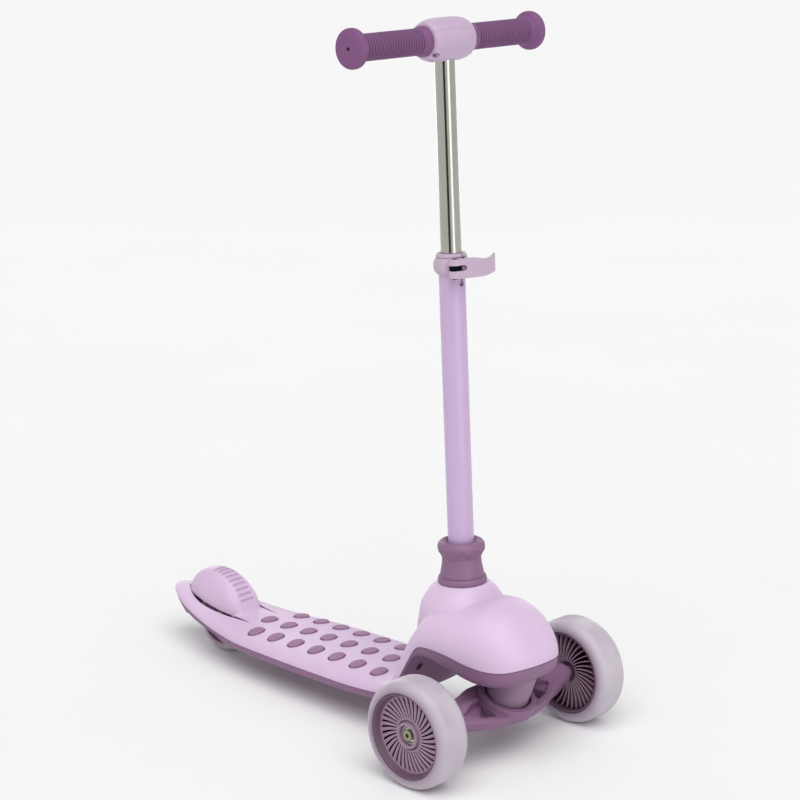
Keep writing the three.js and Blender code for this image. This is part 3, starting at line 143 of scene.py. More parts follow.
# %% Frames
def shifted(x, y, z):
    """A frame moved by x, y and z."""
    matrix = np.eye(4)
    matrix[:3, 3] = x, y, z
    return matrix


def tilted(axis, degrees):
    """A frame turned about the X, Y or Z axis: a plane rotation of the other two."""
    first, second = (axis + 1) % 3, (axis + 2) % 3
    cosine, sine = math.cos(math.radians(degrees)), math.sin(math.radians(degrees))
    matrix = np.eye(4)
    matrix[first, first] = matrix[second, second] = cosine
    matrix[first, second], matrix[second, first] = -sine, sine
    return matrix


def moved(points, matrix):
    """Points carried by a frame."""
    return np.asarray(points, float) @ matrix[:3, :3].T + matrix[:3, 3]


UPRIGHT = np.eye(4)
STEM = shifted(0, STEM_FOOT, 0) @ tilted(0, -STEM_LEAN)
KINGPIN = shifted(0, 0, FRONT_RADIUS) @ tilted(0, PIN_LEAN) @ shifted(0, -PIN_BEHIND, 0)
BAR_MIDDLE = STEM @ shifted(0, 0, BAR_HEIGHT)
BAR = BAR_MIDDLE @ tilted(1, 90)
WHEELS = {
    "left": shifted(TRACK_HALF, 0, FRONT_RADIUS) @ tilted(1, 90),
    "right": shifted(-TRACK_HALF, 0, FRONT_RADIUS) @ tilted(1, -90),
    "rear": shifted(0, REAR_AXLE, REAR_RADIUS) @ tilted(1, 90),
}
HANDS, BOTH = ("left", "right"), (1, -1)


def both_sides(near, far):
    """The spans from near to far on the left and on the right, each from low to high."""
    return [sorted((side * near, side * far)) for side in BOTH]


# %% [markdown]
# A turned piece is a profile carried round an axis, and a slab is an outline carried upwards. Real
# edges are never sharp, so a profile's corners are rounded and a slab's rims draw in.

# %% Turned pieces
def eased(points, reach, steps=5, closed=True):
    """Each corner becomes a parabola that starts and ends at most reach away from it."""
    points = np.asarray(points, float)
    before, after = np.roll(points, 1, 0) - points, np.roll(points, -1, 0) - points
    limit = np.broadcast_to(np.asarray(reach, float), len(points))
    start_share, end_share = (
        np.minimum(limit / np.maximum(np.linalg.norm(side, axis=1), 1e-9), 0.48)
        for side in (before, after)
    )
    start = points + before * start_share[:, None]
    end = points + after * end_share[:, None]
    t = np.linspace(0, 1, steps)[None, :, None]
    corner = points[:, None]
    curve = (1 - t) ** 2 * start[:, None] + 2 * t * (1 - t) * corner + t**2 * end[:, None]
    if not closed:
        curve[0], curve[-1] = points[0], points[-1]
    return curve.reshape(-1, points.shape[1])


def full_circle(count):
    """Evenly spread turns from 0 to just under 2 pi."""
    return np.arange(count) * 2 * math.pi / count


def turned_grid(profile, matrix=UPRIGHT, segments=96):
    """Each (radius, height) pair becomes a circle about Z: (r cos t, r sin t, h)."""
    profile = np.asarray(profile, float)
    turn = full_circle(segments)
    radius, height = profile[:, :1], profile[:, 1:]
    points = np.stack([radius * np.cos(turn), radius * np.sin(turn), height + 0 * turn], -1)
    return moved(points, matrix)


def turned(name, profile, matrix=UPRIGHT, segments=96, reach=0.6, ring=True):
    """A turned piece whose profile has eased corners; a ring's profile is a closed outline."""
    line = eased(profile, reach, closed=ring)
    return shell(name, turned_grid(line, matrix, segments), ring=ring)


def rod(name, radius, low, high, matrix=UPRIGHT, edge=0.5, segments=64):
    """A round bar along Z with eased rims."""
    profile = [(0, low), (radius, low), (radius, high), (0, high)]
    return turned(name, profile, matrix, segments, edge, ring=False)


# %% Slabs and blocks
def slab_grid(outline, low, high, edge=0.6, matrix=UPRIGHT):
    """An outline carried up from low to high; at both rims it draws in along a quarter circle."""
    outline = np.asarray(outline, float)
    after = np.roll(outline, -1, 0)
    along = after - np.roll(outline, 1, 0)
    area = np.sum(outline[:, 0] * after[:, 1] - outline[:, 1] * after[:, 0])
    length = np.maximum(np.linalg.norm(along, axis=1), 1e-9)[:, None]
    inward = np.stack([-along[:, 1], along[:, 0]], 1) / length * math.copysign(1, area)
    turn = np.linspace(0, math.pi / 2, 5) if edge else np.array([math.pi / 2])
    draw, rise = edge * (1 - np.sin(turn)), edge * (1 - np.cos(turn))
    draws = np.concatenate([draw, draw[::-1]])[:, None, None]
    heights = np.concatenate([low + rise, (high - rise)[::-1]])
    flat = outline[None] + inward[None] * draws
    tall = np.broadcast_to(heights[:, None, None], (*flat.shape[:2], 1))
    return moved(np.concatenate([flat, tall], -1), matrix)


def slab(name, outline, low, high, matrix=UPRIGHT, edge=0.6):
    """A flat piece with eased rims, from its outline and the two heights."""
    return shell(name, slab_grid(outline, low, high, edge, matrix))


def block(name, low, high, matrix=UPRIGHT, edge=0.0):
    """A block between two corners."""
    (x0, y0, z0), (x1, y1, z1) = low, high
    return slab(name, [(x0, y0), (x1, y0), (x1, y1), (x0, y1)], z0, z1, matrix, edge)


# %% [markdown]
# ## The body
# Deck, wheel arches and hood are one long moulding. Its lines from nose to tail are the half
# width, the seam between the two mouldings, the top and the keel. A table gives them at 27 places
# as shares of the body's length, width and height, and a smooth curve runs through the table, so
# that the surface has no kinks where the table has rows.

# %% Body lines
NOSE, TAIL = -64.0, 541.0
LENGTH, HALF_WIDTH = TAIL - NOSE, 66.0
DECK_LEVEL, HOOD_LEVEL = 62.0, 176.0
ROUND_DECK, ROUND_HOOD, ROUND_TRAY = 3, 2.15, 4.5
BODY_SHARES = np.array([
    (0, 0.05, 0.5, 0.52, 0.46), (0.0116, 0.46, 0.482, 0.659, 0.355),
    (0.0248, 0.63, 0.465, 0.754, 0.3), (0.043, 0.76, 0.456, 0.855, 0.268),
    (0.066, 0.86, 0.463, 0.95, 0.255), (0.0975, 0.94, 0.492, 1, 0.272),
    (0.139, 0.985, 0.535, 0.971, 0.33), (0.18, 1, 0.548, 0.936, 0.385),
    (0.205, 1, 0.527, 0.895, 0.395), (0.2165, 0.995, 0.478, 0.855, 0.375),
    (0.231, 0.99, 0.36, 0.773, 0.298), (0.2496, 0.985, 0.193, 0.619, 0.132),
    (0.263, 0.98, 0.07, 0.44, 0), (0.279, 0.977, -0.031, 0.193, -0.123),
    (0.304, 0.975, -0.092, 0.04, -0.215), (0.387, 0.977, -0.136, 0.005, -0.255),
    (0.469, 0.97, -0.149, 0, -0.272), (0.602, 0.94, -0.163, -0.022, -0.289),
    (0.717, 0.86, -0.181, -0.048, -0.303), (0.767, 0.795, -0.175, -0.048, -0.298),
    (0.8165, 0.72, -0.154, -0.035, -0.286), (0.866, 0.635, -0.118, -0.014, -0.258),
    (0.9157, 0.52, -0.079, 0.014, -0.193), (0.949, 0.4, -0.048, 0.031, -0.127),
    (0.9736, 0.285, -0.027, 0.04, -0.07), (0.992, 0.165, -0.009, 0.035, -0.026),
    (1, 0.05, 0, 0.022, -0.018),
])


def smooth_through(x, knots, values):
    """A curve through the table: between two rows, a cubic with each row's own slope."""
    step, rise = np.diff(knots), np.diff(values)
    slope = np.empty(len(knots))
    slope[1:-1] = (values[2:] - values[:-2]) / (knots[2:] - knots[:-2])
    slope[0] = 1.5 * rise[0] / step[0] - slope[1] / 2
    slope[-1] = 1.5 * rise[-1] / step[-1] - slope[-2] / 2
    k = np.clip(np.searchsorted(knots, x) - 1, 0, len(step) - 1)
    t = np.clip((x - knots[k]) / step[k], 0, 1)
    start, end = slope[k] * step[k], slope[k + 1] * step[k]
    return (values[k] + t * start + t**2 * (3 * rise[k] - 2 * start - end)
            + t**3 * (start + end - 2 * rise[k]))


def round_through(x, knots, values):
    """The root of a curve through the squares, which closes at a tip as a round end does."""
    return np.sqrt(np.maximum(smooth_through(x, knots, values**2), 1e-6))


def body_lines(y):
    """Half width, seam, top, keel and roundness at y."""
    share = np.clip((np.asarray(y, float) - NOSE) / LENGTH, 0, 1)
    knots, width, seam, top, keel = BODY_SHARES.T
    seam_share = smooth_through(share, knots, seam)
    rise = round_through(share, knots, top - seam)
    drop = round_through(share, knots, seam - keel)
    half = HALF_WIDTH * round_through(share, knots, width)
    tall = HOOD_LEVEL - DECK_LEVEL
    roundness = ROUND_DECK + (ROUND_HOOD - ROUND_DECK) * np.clip(seam_share + rise, 0, 1)
    middle = DECK_LEVEL + tall * seam_share
    return half, middle, middle + tall * rise, middle - tall * drop, roundness


def inset_lines(y, inset):
    """The body lines moved inwards, as a ball of that radius would leave them."""
    half, seam, top, keel, roundness = body_lines(y)
    for turn in np.linspace(0, math.pi, 9) if inset else ():
        near = body_lines(y + inset * math.cos(turn))
        drop = inset * math.sin(turn)
        half = np.minimum(half, near[0] - drop)
        top = np.minimum(top, near[2] - drop)
        keel = np.maximum(keel, near[3] + drop)
    return np.maximum(half, GAP), seam, top, keel, roundness


print("body lines at the deck's middle:", [round(float(v), 1) for v in body_lines(200)])


# %% Body surface
def superellipse(sine, cosine, bend):
    """The reach of a rounded square at a turn: (|sin|^b + |cos|^b)^(-1/b)."""
    return (np.abs(sine) ** bend + np.abs(cosine) ** bend) ** (-1 / bend)


def half_ring(half, reach, bend, columns):
    """Half a rounded rectangle: x and rise at turns from one side over the middle to the other."""
    turn = np.linspace(-math.pi / 2, math.pi / 2, columns)
    sine, cosine = np.sin(turn), np.abs(np.cos(turn))
    radius = superellipse(sine, cosine, bend[:, None])
    return half[:, None] * radius * sine, reach[:, None] * radius * cosine


def body_grid(inset=0.0, over=True, flat=0.0, side=0.0, rows=300, columns=129, raised=0.0,
              span=None):
    """Rows across the body: the half above the seam, or below it, closed by a flat face."""
    low, high = span or (NOSE + inset, TAIL - inset)
    y = (low + high) / 2 - (high - low) / 2 * np.cos(np.linspace(0, math.pi, rows))
    half, seam, top, keel, roundness = inset_lines(y, inset)
    reach = np.maximum(top - seam if over else seam - keel, GAP / 2)
    bend = roundness if over else np.full(rows, ROUND_TRAY)
    x, rise = half_ring(np.maximum(half - side, GAP), reach, bend, columns)
    rise = rise if over else np.minimum(-rise, flat)
    if flat:
        edge = np.full((rows, 1), flat)
        rise = np.concatenate([rise, edge, edge], 1)
        x = np.concatenate([x, x[:, -1:], x[:, :1]], 1)
    z = seam[:, None] + rise + raised
    return np.stack([x, np.broadcast_to(y[:, None], x.shape), z], -1)


# %% [markdown]
# ## The neck
# Under the stem the hood rises into an oval neck that leans with the stem. It is a loft too: its
# rows are rounded rectangles that narrow towards the ring on top.

# %% Neck surface
NECK_TOP, NECK_DEPTH, NECK_WIDTH, NECK_ROUND = 183.2, 79.0, 50.0, 2.5
NECK_SHARES = np.array([
    (0, 1, 0.926, 0.076), (0.3, 0.978, 0.904, 0.054), (0.56, 0.93, 0.862, 0.034),
    (0.75, 0.874, 0.81, 0.02), (0.87, 0.768, 0.71, 0.01), (0.955, 0.65, 0.634, 0.004),
    (1, 0.552, 0.552, 0),
])


def neck_grid(inset=0.0, rows=70, columns=128):
    """Rows up the neck: superellipses of exponent 2.5, moved back a little towards the foot."""
    share = np.linspace(0, 1, rows) ** 0.7
    knots, *tables = NECK_SHARES.T
    width, depth, shift = (smooth_through(share, knots, v) * NECK_WIDTH for v in tables)
    turn = full_circle(columns)
    sine, cosine = np.sin(turn), np.cos(turn)
    radius = superellipse(sine, cosine, NECK_ROUND)
    height = NECK_TOP - NECK_DEPTH * (1 - share) - inset * (share == 1)
    points = np.stack([
        (width - inset)[:, None] * radius * sine,
        (depth - inset)[:, None] * radius * cosine + shift[:, None],
        height[:, None] + 0 * turn,
    ], -1)
    return moved(points, STEM)


def over_seam(rows=80):
    """Everything above the seam, to trim the neck where it would come out below."""
    y = np.linspace(NOSE, 300, rows)
    seam = body_lines(y)[1]
    x, top = np.full(rows, HALF_WIDTH), np.full(rows, NECK_TOP + 20)
    corners = [(-x, y, seam), (x, y, seam), (x, y, top), (-x, y, top)]
    return shell("over_seam", np.stack([np.stack(c, -1) for c in corners], 1))


# %% [markdown]
# ## Pads and their holes
# A rubber mat lies under the deck, and 21 oval pads on it stand up through holes. The holes are
# cut with slightly flared columns, which leaves the small chamfer that a moulded hole has.

# %% Pad places
PAD_PITCH, PAD_FIRST, PAD_ROW = 34.5, 149.0, 37.0
PADS_IN_ROW, TIP_PROBE = 7, 6
PAD_HALF = np.array([10.7, 8.1])
HOLE_PROFILE = [(1.0, -9), (1.0, -0.6), (1.5, 0.05), (8.9, 8)]


def arch(share, bend):
    """A superellipse's height at that share of its half width: (1 - share^b)^(1/b)."""
    return (1 - share**bend) ** (1 / bend)


def deck_height(x, y):
    """The top moulding's height: the seam plus the superellipse's rise at x."""
    half, seam, top, _, bend = inset_lines(np.asarray(y, float), 0)
    return seam + (top - seam) * arch(np.clip(np.abs(x) / half, 0, 1), bend)


def pad_frames():
    """A frame on the deck for each pad, tipped square to the crowned surface."""
    frames = []
    for row in (-1, 0, 1):
        for k in range(PADS_IN_ROW):
            x, y = row * PAD_ROW, PAD_FIRST + PAD_PITCH * (k + 0.5 * (row == 0))
            rise = deck_height(x + TIP_PROBE, y) - deck_height(x - TIP_PROBE, y)
            tip = -math.degrees(math.atan(float(rise / (2 * TIP_PROBE))))
            frames.append(shifted(x, y, float(deck_height(x, y))) @ tilted(1, tip))
    return frames


def oval_grids(profile, columns=64):
    """An oval column on each pad's frame: rows of (growth of the oval, height)."""
    turn = full_circle(columns)
    grow, height = np.asarray(profile, float).T
    points = np.stack([
        np.maximum(PAD_HALF[0] + grow, 0)[:, None] * np.cos(turn),
        np.maximum(PAD_HALF[1] + grow, 0)[:, None] * np.sin(turn),
        height[:, None] + 0 * turn,
    ], -1)
    return [moved(points, matrix) for matrix in pad_frames()]


# %% [markdown]
# ## Fender opening
# The brake fender is part of the deck's top, cut free by a thin wedge-shaped slit that widens into
# a slot round the dome. The outline of the slot was read from the photograph.

# %% Slot outline
FENDER_ROOT, TONGUE_HALF = 387.0, 21.8
SLOT_START, SLIT_WIDTH, ROOT_LAP = 381.4, 0.25, 0.15
SLOT_SIDE = np.array([
    (22.3, 381), (24, 396), (26.4, 412), (28.2, 426), (28.7, 437), (28.4, 450), (27.3, 464),
    (25.6, 473), (23, 482), (19.6, 490.5), (15.6, 498.5), (11.6, 505.5), (7.7, 511), (3.8, 516.5),
    (0, 519.6),
])


def slot_outline():
    """The slot's outer line, down one side and up the other, with the tongue's root between."""
    inner = TONGUE_HALF + SLIT_WIDTH
    tongue = np.array([(inner, FENDER_ROOT - ROOT_LAP), (inner, SLOT_START)])
    corners = np.concatenate([SLOT_SIDE, SLOT_SIDE[-2::-1] * (-1, 1)])
    knots = np.arange(len(corners))
    steps = np.linspace(0, knots[-1], 6 * len(corners))
    curve = np.stack([smooth_through(steps, knots, line) for line in corners.T], 1)
    return np.concatenate([tongue, curve, tongue[::-1] * (-1, 1)])


# %% The top moulding
def make_top_shell():
    """Body and neck in one skin, less the holes for pads, fender, stem and button."""
    neck = combined(shell("neck", neck_grid()), over_seam(), how="INTERSECT")
    top = combined(shell("deck_top", body_grid()), neck, how="UNION")
    return combined(
        top,
        shell("hollow", body_grid(WALL, flat=-6, rows=150, columns=65)),
        shell("neck_hollow", neck_grid(WALL, 30, 64)),
        rod("bore", 19.1, NECK_TOP - NECK_DEPTH, NECK_TOP + 9, STEM, 0),
        block("button_hole", (-8.4, 14.3, 169.4), (8.4, 60, 190), STEM),
        shell("pad_holes", *oval_grids(HOLE_PROFILE)),
        slab("fender_opening", slot_outline(), 30, 130, edge=0),
    )


deck_top = make_top_shell()
tell(deck_top)

# %% [markdown]
# ## Mat and pads
# Each pad is a low crowned oval with a soft edge, so that its rim catches a line of light.

# %% The mat
PAD_PROFILE = [
    (-0.2, -4.2), (-0.2, 0.8), (-0.3, 1.15), (-0.6, 1.45), (-1.1, 1.62), (-3, 1.8), (-6, 1.92),
    (-12.4, 1.96),
]


def mat_plate_grid():
    """The plate under the deck: an upper skin 3.3 mm down and a lower one 2 mm below it."""
    place = {"rows": 60, "columns": 65, "span": (136, 382)}
    upper, lower = body_grid(3.3, side=9, **place), body_grid(5.3, side=7.2, **place)
    return np.concatenate([upper, lower[:, ::-1]], 1)


deck_pads = shell("deck_pads", mat_plate_grid(), *oval_grids(PAD_PROFILE))
tell(deck_pads)

# %% [markdown]
# ## Lower moulding
# The tray below the seam is the darker moulding. Only its sides and the arch wall are seen, but it
# is a real tray with a wall, the rear wheel's well and the bosses that carry the wheel.

# %% The tray
SIDEWAYS = np.array([[0, 0, 1, 0], [1, 0, 0, 0], [0, 1, 0, 0], [0, 0, 0, 1.0]])
WHEEL_ARCH = eased(
    [(404, 10), (406, 34), (416, 38), (440, 40), (466, 43), (491, 47.5), (493, 10)], 4, 4,
)
ARCH_END = eased([(462, 10), (462, 41), (491, 44.5), (492, 10)], 3, 4)
COARSE = {"rows": 120, "columns": 65}


def tray_fittings():
    """The well's walls and the bosses of axle, stem and steering pin, kept inside the body."""
    inside = combined(
        shell("inside", body_grid(1.5, over=False, flat=0.02, side=0.8, **COARSE)),
        shell("inside_top", body_grid(3.3, flat=-0.02, side=2, **COARSE)), how="UNION",
    )
    fittings = combined(
        block("well_walls", (-22.5, 399, 0), (22.5, 522, 45)),
        *[rod("boss", 7.5, *span, WHEELS["rear"]) for span in both_sides(21, 25)],
        *[block("rib", (a, 441.5, 21), (b, 456.5, 40)) for a, b in both_sides(21, 25)],
        rod("socket_boss", 24.3, 0, 112, STEM), rod("pin_boss", 13, 0, 54, KINGPIN), how="UNION",
    )
    return combined(fittings, inside, how="INTERSECT")


def make_tray():
    """The half below the seam less its hollow, with the fittings, less the holes."""
    tray = shell("under_tray", body_grid(over=False, flat=-SEAM_GAP, side=0.9))
    hollow = shell("tray_hollow", body_grid(WALL, over=False, flat=5, side=0.8, **COARSE))
    tray = combined(tray, hollow)
    tray = combined(tray, tray_fittings(), how="UNION")
    seats = [
        shifted(side * 40.8, 0.247 * LENGTH + NOSE, 86.9) @ tilted(0, -90) for side in BOTH
    ]
    return combined(
        tray,
        block("well", (-19.5, 402, 0), (19.5, 495, 100)),
        block("tip_room", (-19.5, 490, 56), (19.5, 519, 100)),
        rod("axle_hole", 4, -33, 33, WHEELS["rear"]), rod("pin_hole", 5.4, 0, 58, KINGPIN),
        *[slab("wheel_arch", WHEEL_ARCH, *span, SIDEWAYS) for span in both_sides(27, 70)],
        *[slab("arch_end", ARCH_END, *span, SIDEWAYS) for span in both_sides(12, 28)],
        *[rod("head_room", 6.2, *span, WHEELS["rear"]) for span in both_sides(25, 33)],
        *[rod("screw_hole", 4.7, -20, 2.5, seat, 0.4) for seat in seats],
    )


under_tray = make_tray()
tell(under_tray)

# %% [markdown]
# ## Brake fender
# The fender is a dome over the rear wheel on a short tongue of the deck's own skin. Seen from
# above it is a teardrop; seen from the side its crest is a circle, which nine grooves cross so
# that a shoe holds. Where the dome's front meets the tongue the corner is hollow: the height is
# averaged over a few millimetres there, as a rolling ball would leave it.

# %% The fender's surface
CREST, CREST_Y, CREST_Z = 55.3, 461.5, 46.5
FENDER_FOOT, FENDER_HALF, FENDER_END, FENDER_WALL = 55.0, 22.6, 516, 2.6
WIDEST, DOME_NOSE, DOME_ROUND, TONGUE_END = 430.2, 24, 3.1, 414
GROOVE_TURN, GROOVE_COUNT, GROOVE_DEPTH = 7.8, 9, 1.9
STEEP_SIDE, GENTLE_SIDE, GROOVE_HALF = 1.3, 2.7, 11
HOLLOW_REACH = 5


def dome_half(y):
    """Half width: blunt in front of the widest place, a long ellipse behind it."""
    ahead = np.clip((WIDEST - y) / DOME_NOSE, 0, 1)
    behind = np.clip((y - WIDEST) / (CREST_Y + CREST - WIDEST), 0, 1)
    return FENDER_HALF * arch(ahead, 3) * arch(behind, 2)


def groove_drop(x, y, z):
    """Nine grooves across the crest, fading towards their ends. Each is steep on its upper side
    and gentle on its lower one; the drop is straight down, so it grows as the crest slopes."""
    turn = np.degrees(np.arctan2(CREST_Y - y, z - CREST_Z))
    past = turn - GROOVE_TURN * np.clip(np.round(turn / GROOVE_TURN), 0, GROOVE_COUNT - 1)
    shape = np.exp(-((past / np.where(past < 0, STEEP_SIDE, GENTLE_SIDE)) ** 2))
    slant = 1 / np.cos(np.radians(np.clip(turn, -60, 60)))
    across = np.clip(1 - (np.abs(x) / GROOVE_HALF) ** 4, 0, 1) ** 0.5
    return GROOVE_DEPTH * shape * slant * across


def fender_height(x, y, inset):
    """The higher of the deck's skin, in front, and the dome."""
    top = CREST_Z + np.sqrt(np.maximum((CREST - inset) ** 2 - (y - CREST_Y) ** 2, 0))
    share = np.clip(np.abs(x) / np.maximum(dome_half(y) - inset, GAP), 0, 1)
    dome = FENDER_FOOT + np.maximum(top - FENDER_FOOT, 0) * arch(share, DOME_ROUND)
    skin = deck_height(x, y) - inset
    return np.where(y < TONGUE_END, np.maximum(dome, skin), dome)


def softened_height(x, y, inset):
    """The height averaged along y near the front, which fills the hollow corner."""
    offsets = np.linspace(-HOLLOW_REACH, HOLLOW_REACH, 21)
    weights = np.cos(offsets / HOLLOW_REACH * math.pi / 2) ** 2
    total = sum(w * fender_height(x, y + d, inset) for d, w in zip(offsets, weights))
    share = np.clip((TONGUE_END + 2 - y) / 8, 0, 1) * np.clip((y - FENDER_ROOT) / 5, 0, 1)
    return fender_height(x, y, inset) * (1 - share) + total / weights.sum() * share


def fender_grid(rows=360, columns=97):
    """Each row goes over the fender and back inside it, a wall's thickness below."""
    share = np.linspace(0, 1, rows)
    y = FENDER_ROOT - 0.05 + (FENDER_END - FENDER_ROOT) * (1 - (1 - share) ** 1.35)
    least = np.where(y < TONGUE_END + 4, TONGUE_HALF, 0.6)
    half = np.maximum(dome_half(y), least)[:, None]
    turn = np.linspace(-math.pi / 2, math.pi / 2, columns)
    y = y[:, None] + 0 * turn
    x = half * np.sin(turn)
    z = softened_height(x, y, 0)
    z = z - groove_drop(x, y, z) * np.clip((y - (TONGUE_END - 5)) / 4, 0, 1)
    inner_x = np.maximum(half - FENDER_WALL, GAP) * np.sin(turn)
    rim = np.where(y < TONGUE_END, z[:, :1] - WALL, FENDER_FOOT)
    inner_z = softened_height(inner_x, y, FENDER_WALL)
    inner_z = np.clip(inner_z, rim, np.maximum(z - 0.6, rim))
    outer, inner = np.stack([x, y, z], -1), np.stack([inner_x, y, inner_z], -1)
    return np.concatenate([outer, inner[:, ::-1]], 1)


fender = shell("fender_dome", fender_grid(), degrees=50)
rim_cut = shell("rim_cut", body_grid(flat=-60, raised=-0.5, rows=60, span=(418.5, TAIL)))
fender = combined(fender, rim_cut, degrees=50)
tell(fender)

# %% [markdown]
# ## Tyres
# A tyre is a ring turned about the axle. Its section is flat where it rolls and has wide round
# shoulders. The front pair and the rear one differ only in size.

# %% Tyres
SHOULDER, TYRE_DEPTH = 12.0, 12.5
TYRE_SIZES = {"left": (FRONT_RADIUS, 42), "right": (FRONT_RADIUS, 42), "rear": (REAR_RADIUS, 33)}


def tyre_profile(radius, width, inner):
    """Section of the ring: quarter ellipses at the shoulders, then straight sides to the rim."""
    half, base = width / 2, width / 2 - SHOULDER
    crown = [(radius, x) for x in np.linspace(0, base, 4)[:-1]]
    arc = [
        (radius - SHOULDER * (1 - math.cos(t) ** 0.9), base + SHOULDER * math.sin(t))
        for t in np.linspace(0, math.pi / 2, 14)
    ]
    lip = [(inner + 1.4, half), (inner + 0.5, half - 0.3), (inner, half - 1)]
    upper = crown + arc + lip
    return upper + [(r, -x) for r, x in upper[::-1]][:-1]


def make_tyre(side):
    """The section turned about that wheel's axle."""
    radius, width = TYRE_SIZES[side]
    profile = tyre_profile(radius, width, radius - TYRE_DEPTH)
    return shell(f"tyre_{side}", turned_grid(profile, WHEELS[side], 160), ring=True)


tyres = {side: make_tyre(side) for side in WHEELS}
tell(*tyres.values())

# %% [markdown]
# ## Hubs
# The front hub is one moulding: a barrel inside the tyre, a dished web with 36 curved slots that
# widen outwards, a groove, and a boss round the bearings. The slots are cut from the turned form,
# and thin blades stand behind the web between them.

# %% Front hubs
HUB_PROFILE = [
    (47.2, -19.5), (47.2, 19.5), (45.4, 19.5), (44.7, 18.9), (42.6, 13), (41.8, 12.2),
    (17.4, 12.2), (17.1, 12.6), (16.9, 13.4), (16.4, 13.4), (16.2, 11.2), (15.2, 11.2),
    (14.7, 15.2), (14.1, 16.2), (12, 16.4), (11.3, 15.7), (11.3, 0.9), (7.1, 0.9), (7.1, -5.5),
    (11.3, -5.5), (11.3, -13.1), (14.2, -13.1), (14.2, 8), (41, 8), (44.2, 5), (44.2, -19.5),
]
SLOT_COUNT, SLOT_INNER, SLOT_OUTER, SLOT_SWEEP = 36, 19.0, 41.3, 13.0
VANE_INNER, VANE_OUTER, VANE_HALF = 13.4, 44.9, 0.55


def swept_grids(radius, half, start, low, high, matrix):
    """36 curved strips: a strip's turn grows with the distance from the axle, so that it leans."""
    share = np.clip((radius - SLOT_INNER) / (SLOT_OUTER - SLOT_INNER), 0, 1.2)
    middle = np.radians(SLOT_SWEEP) * share**0.8 + start
    edge = np.concatenate([middle - half / radius, (middle + half / radius)[::-1]])
    reach = np.concatenate([radius, radius[::-1]])
    grids = []
    for k in range(SLOT_COUNT):
        turn = edge + 2 * math.pi * k / SLOT_COUNT
        outline = np.stack([reach * np.cos(turn), reach * np.sin(turn)], 1)
        grids.append(slab_grid(outline, low, high, 0, matrix))
    return grids


def slot_grids(matrix):
    """The openings in the web: narrow at the boss, wider outwards, with a rounded outer end."""
    share = np.linspace(0, 1, 10)
    half = (0.6 + 0.9 * share) * np.sqrt(np.clip((1.02 - share) / 0.1, 0, 1))
    return swept_grids(SLOT_INNER + (SLOT_OUTER - SLOT_INNER) * share, half, 0, 6, 26, matrix)


def vane_grids(matrix):
    """Thin blades behind the web, between the openings, from the boss to the barrel."""
    radius = np.linspace(VANE_INNER, VANE_OUTER, 12)
    half = np.full(12, VANE_HALF)
    return swept_grids(radius, half, math.pi / SLOT_COUNT, -15.5, 8.6, matrix)


def make_front_hub(hand):
    """The turned form, less the slots, with the blades."""
    matrix = WHEELS[hand]
    hub = turned(f"hub_{hand}", HUB_PROFILE, matrix, 160, 0.5)
    hub = combined(hub, shell("hub_slots", *slot_grids(matrix)))
    return combined(hub, shell("hub_vanes", *vane_grids(matrix)), how="UNION", degrees=30)


hubs = {hand: make_front_hub(hand) for hand in HANDS}
tell(*hubs.values())

# %% [markdown]
# Each front wheel turns on a ball bearing and is held by a washer and a round-headed bolt with a
# hexagon socket. They are small, but they sit in the middle of the wheel, where the eye goes.

# %% Bearings, bolts and washers
RACES = np.array([
    (4, 0), (11, 0), (11, 7), (9.3, 7), (9.1, 6.6), (6.1, 6.6), (5.9, 7), (4, 7),
]) + (0, 1.2)
BOLT_PROFILE = [(0, -48), (3.7, -48), (3.7, 10), (6, 10), (6, 15), (0, 15)]
WASHER_PROFILE = [(4, 8.5), (10.5, 8.5), (10.5, 12.2), (9.3, 12.2), (8, 10.2), (4, 10.2)]


def circle_part(centre, radius, first, last, steps=16):
    """Points on a circle between two turns in degrees."""
    turn = np.radians(np.linspace(first, last, steps))
    return np.stack([centre[0] + radius * np.cos(turn), centre[1] + radius * np.sin(turn)], 1)


def hexagon(reach, first=0):
    """Six corners, the first at that turn in degrees."""
    return circle_part((0, 0), reach, first, first + 300, 6)


def make_axle_bolt(hand):
    """The socket is cut from the turned head."""
    head = turned("head", BOLT_PROFILE, WHEELS[hand], 64, 0.7, ring=False)
    bolt = combined(head, slab("socket", hexagon(2.9, 10), 12, 19, WHEELS[hand], 0))
    bolt.name = f"axle_bolt_{hand}"
    return bolt


bearings = {hand: turned(f"bearing_{hand}", RACES, WHEELS[hand], 64, 0.25) for hand in HANDS}
bolts = {hand: make_axle_bolt(hand) for hand in HANDS}
washers = {hand: turned(f"washer_{hand}", WASHER_PROFILE, WHEELS[hand], 64, 0.3) for hand in HANDS}
tell(*bearings.values(), *bolts.values(), *washers.values())

# %% [markdown]
# The rear hub is alike on both sides: a groove between rim and boss, and a seat for each bearing.
# So half of its profile is given, and the other half is the same line mirrored.

# %% Rear hub
REAR_HUB_SIDE = [
    (27.2, 13.5), (25.6, 13.5), (24.2, 10.5), (15.4, 10.5), (14.2, 13.5), (11.2, 13.5),
    (11.2, 6.2), (6.5, 6.2),
]
other_side = [(r, -x) for r, x in REAR_HUB_SIDE[::-1]]
hub_rear = turned("hub_rear", REAR_HUB_SIDE + other_side, WHEELS["rear"], 96, 0.6)
rear_bearings = {
    hand: turned(
        f"bearing_rear_{hand}", [(4, a), (11, a), (11, b), (4, b)], WHEELS["rear"], 64, 0.3,
    )
    for hand, (a, b) in zip(HANDS, both_sides(6.5, 13.5))
}
tell(hub_rear, *rear_bearings.values())

# %% [markdown]
# ## Steering truck
# The front axle is a moulded beam that swings under the nose. In the middle it carries a round
# pocket for the steering drum; on each side a three-cornered relief is sunk in its face, and
# round stubs run out to the wheels.

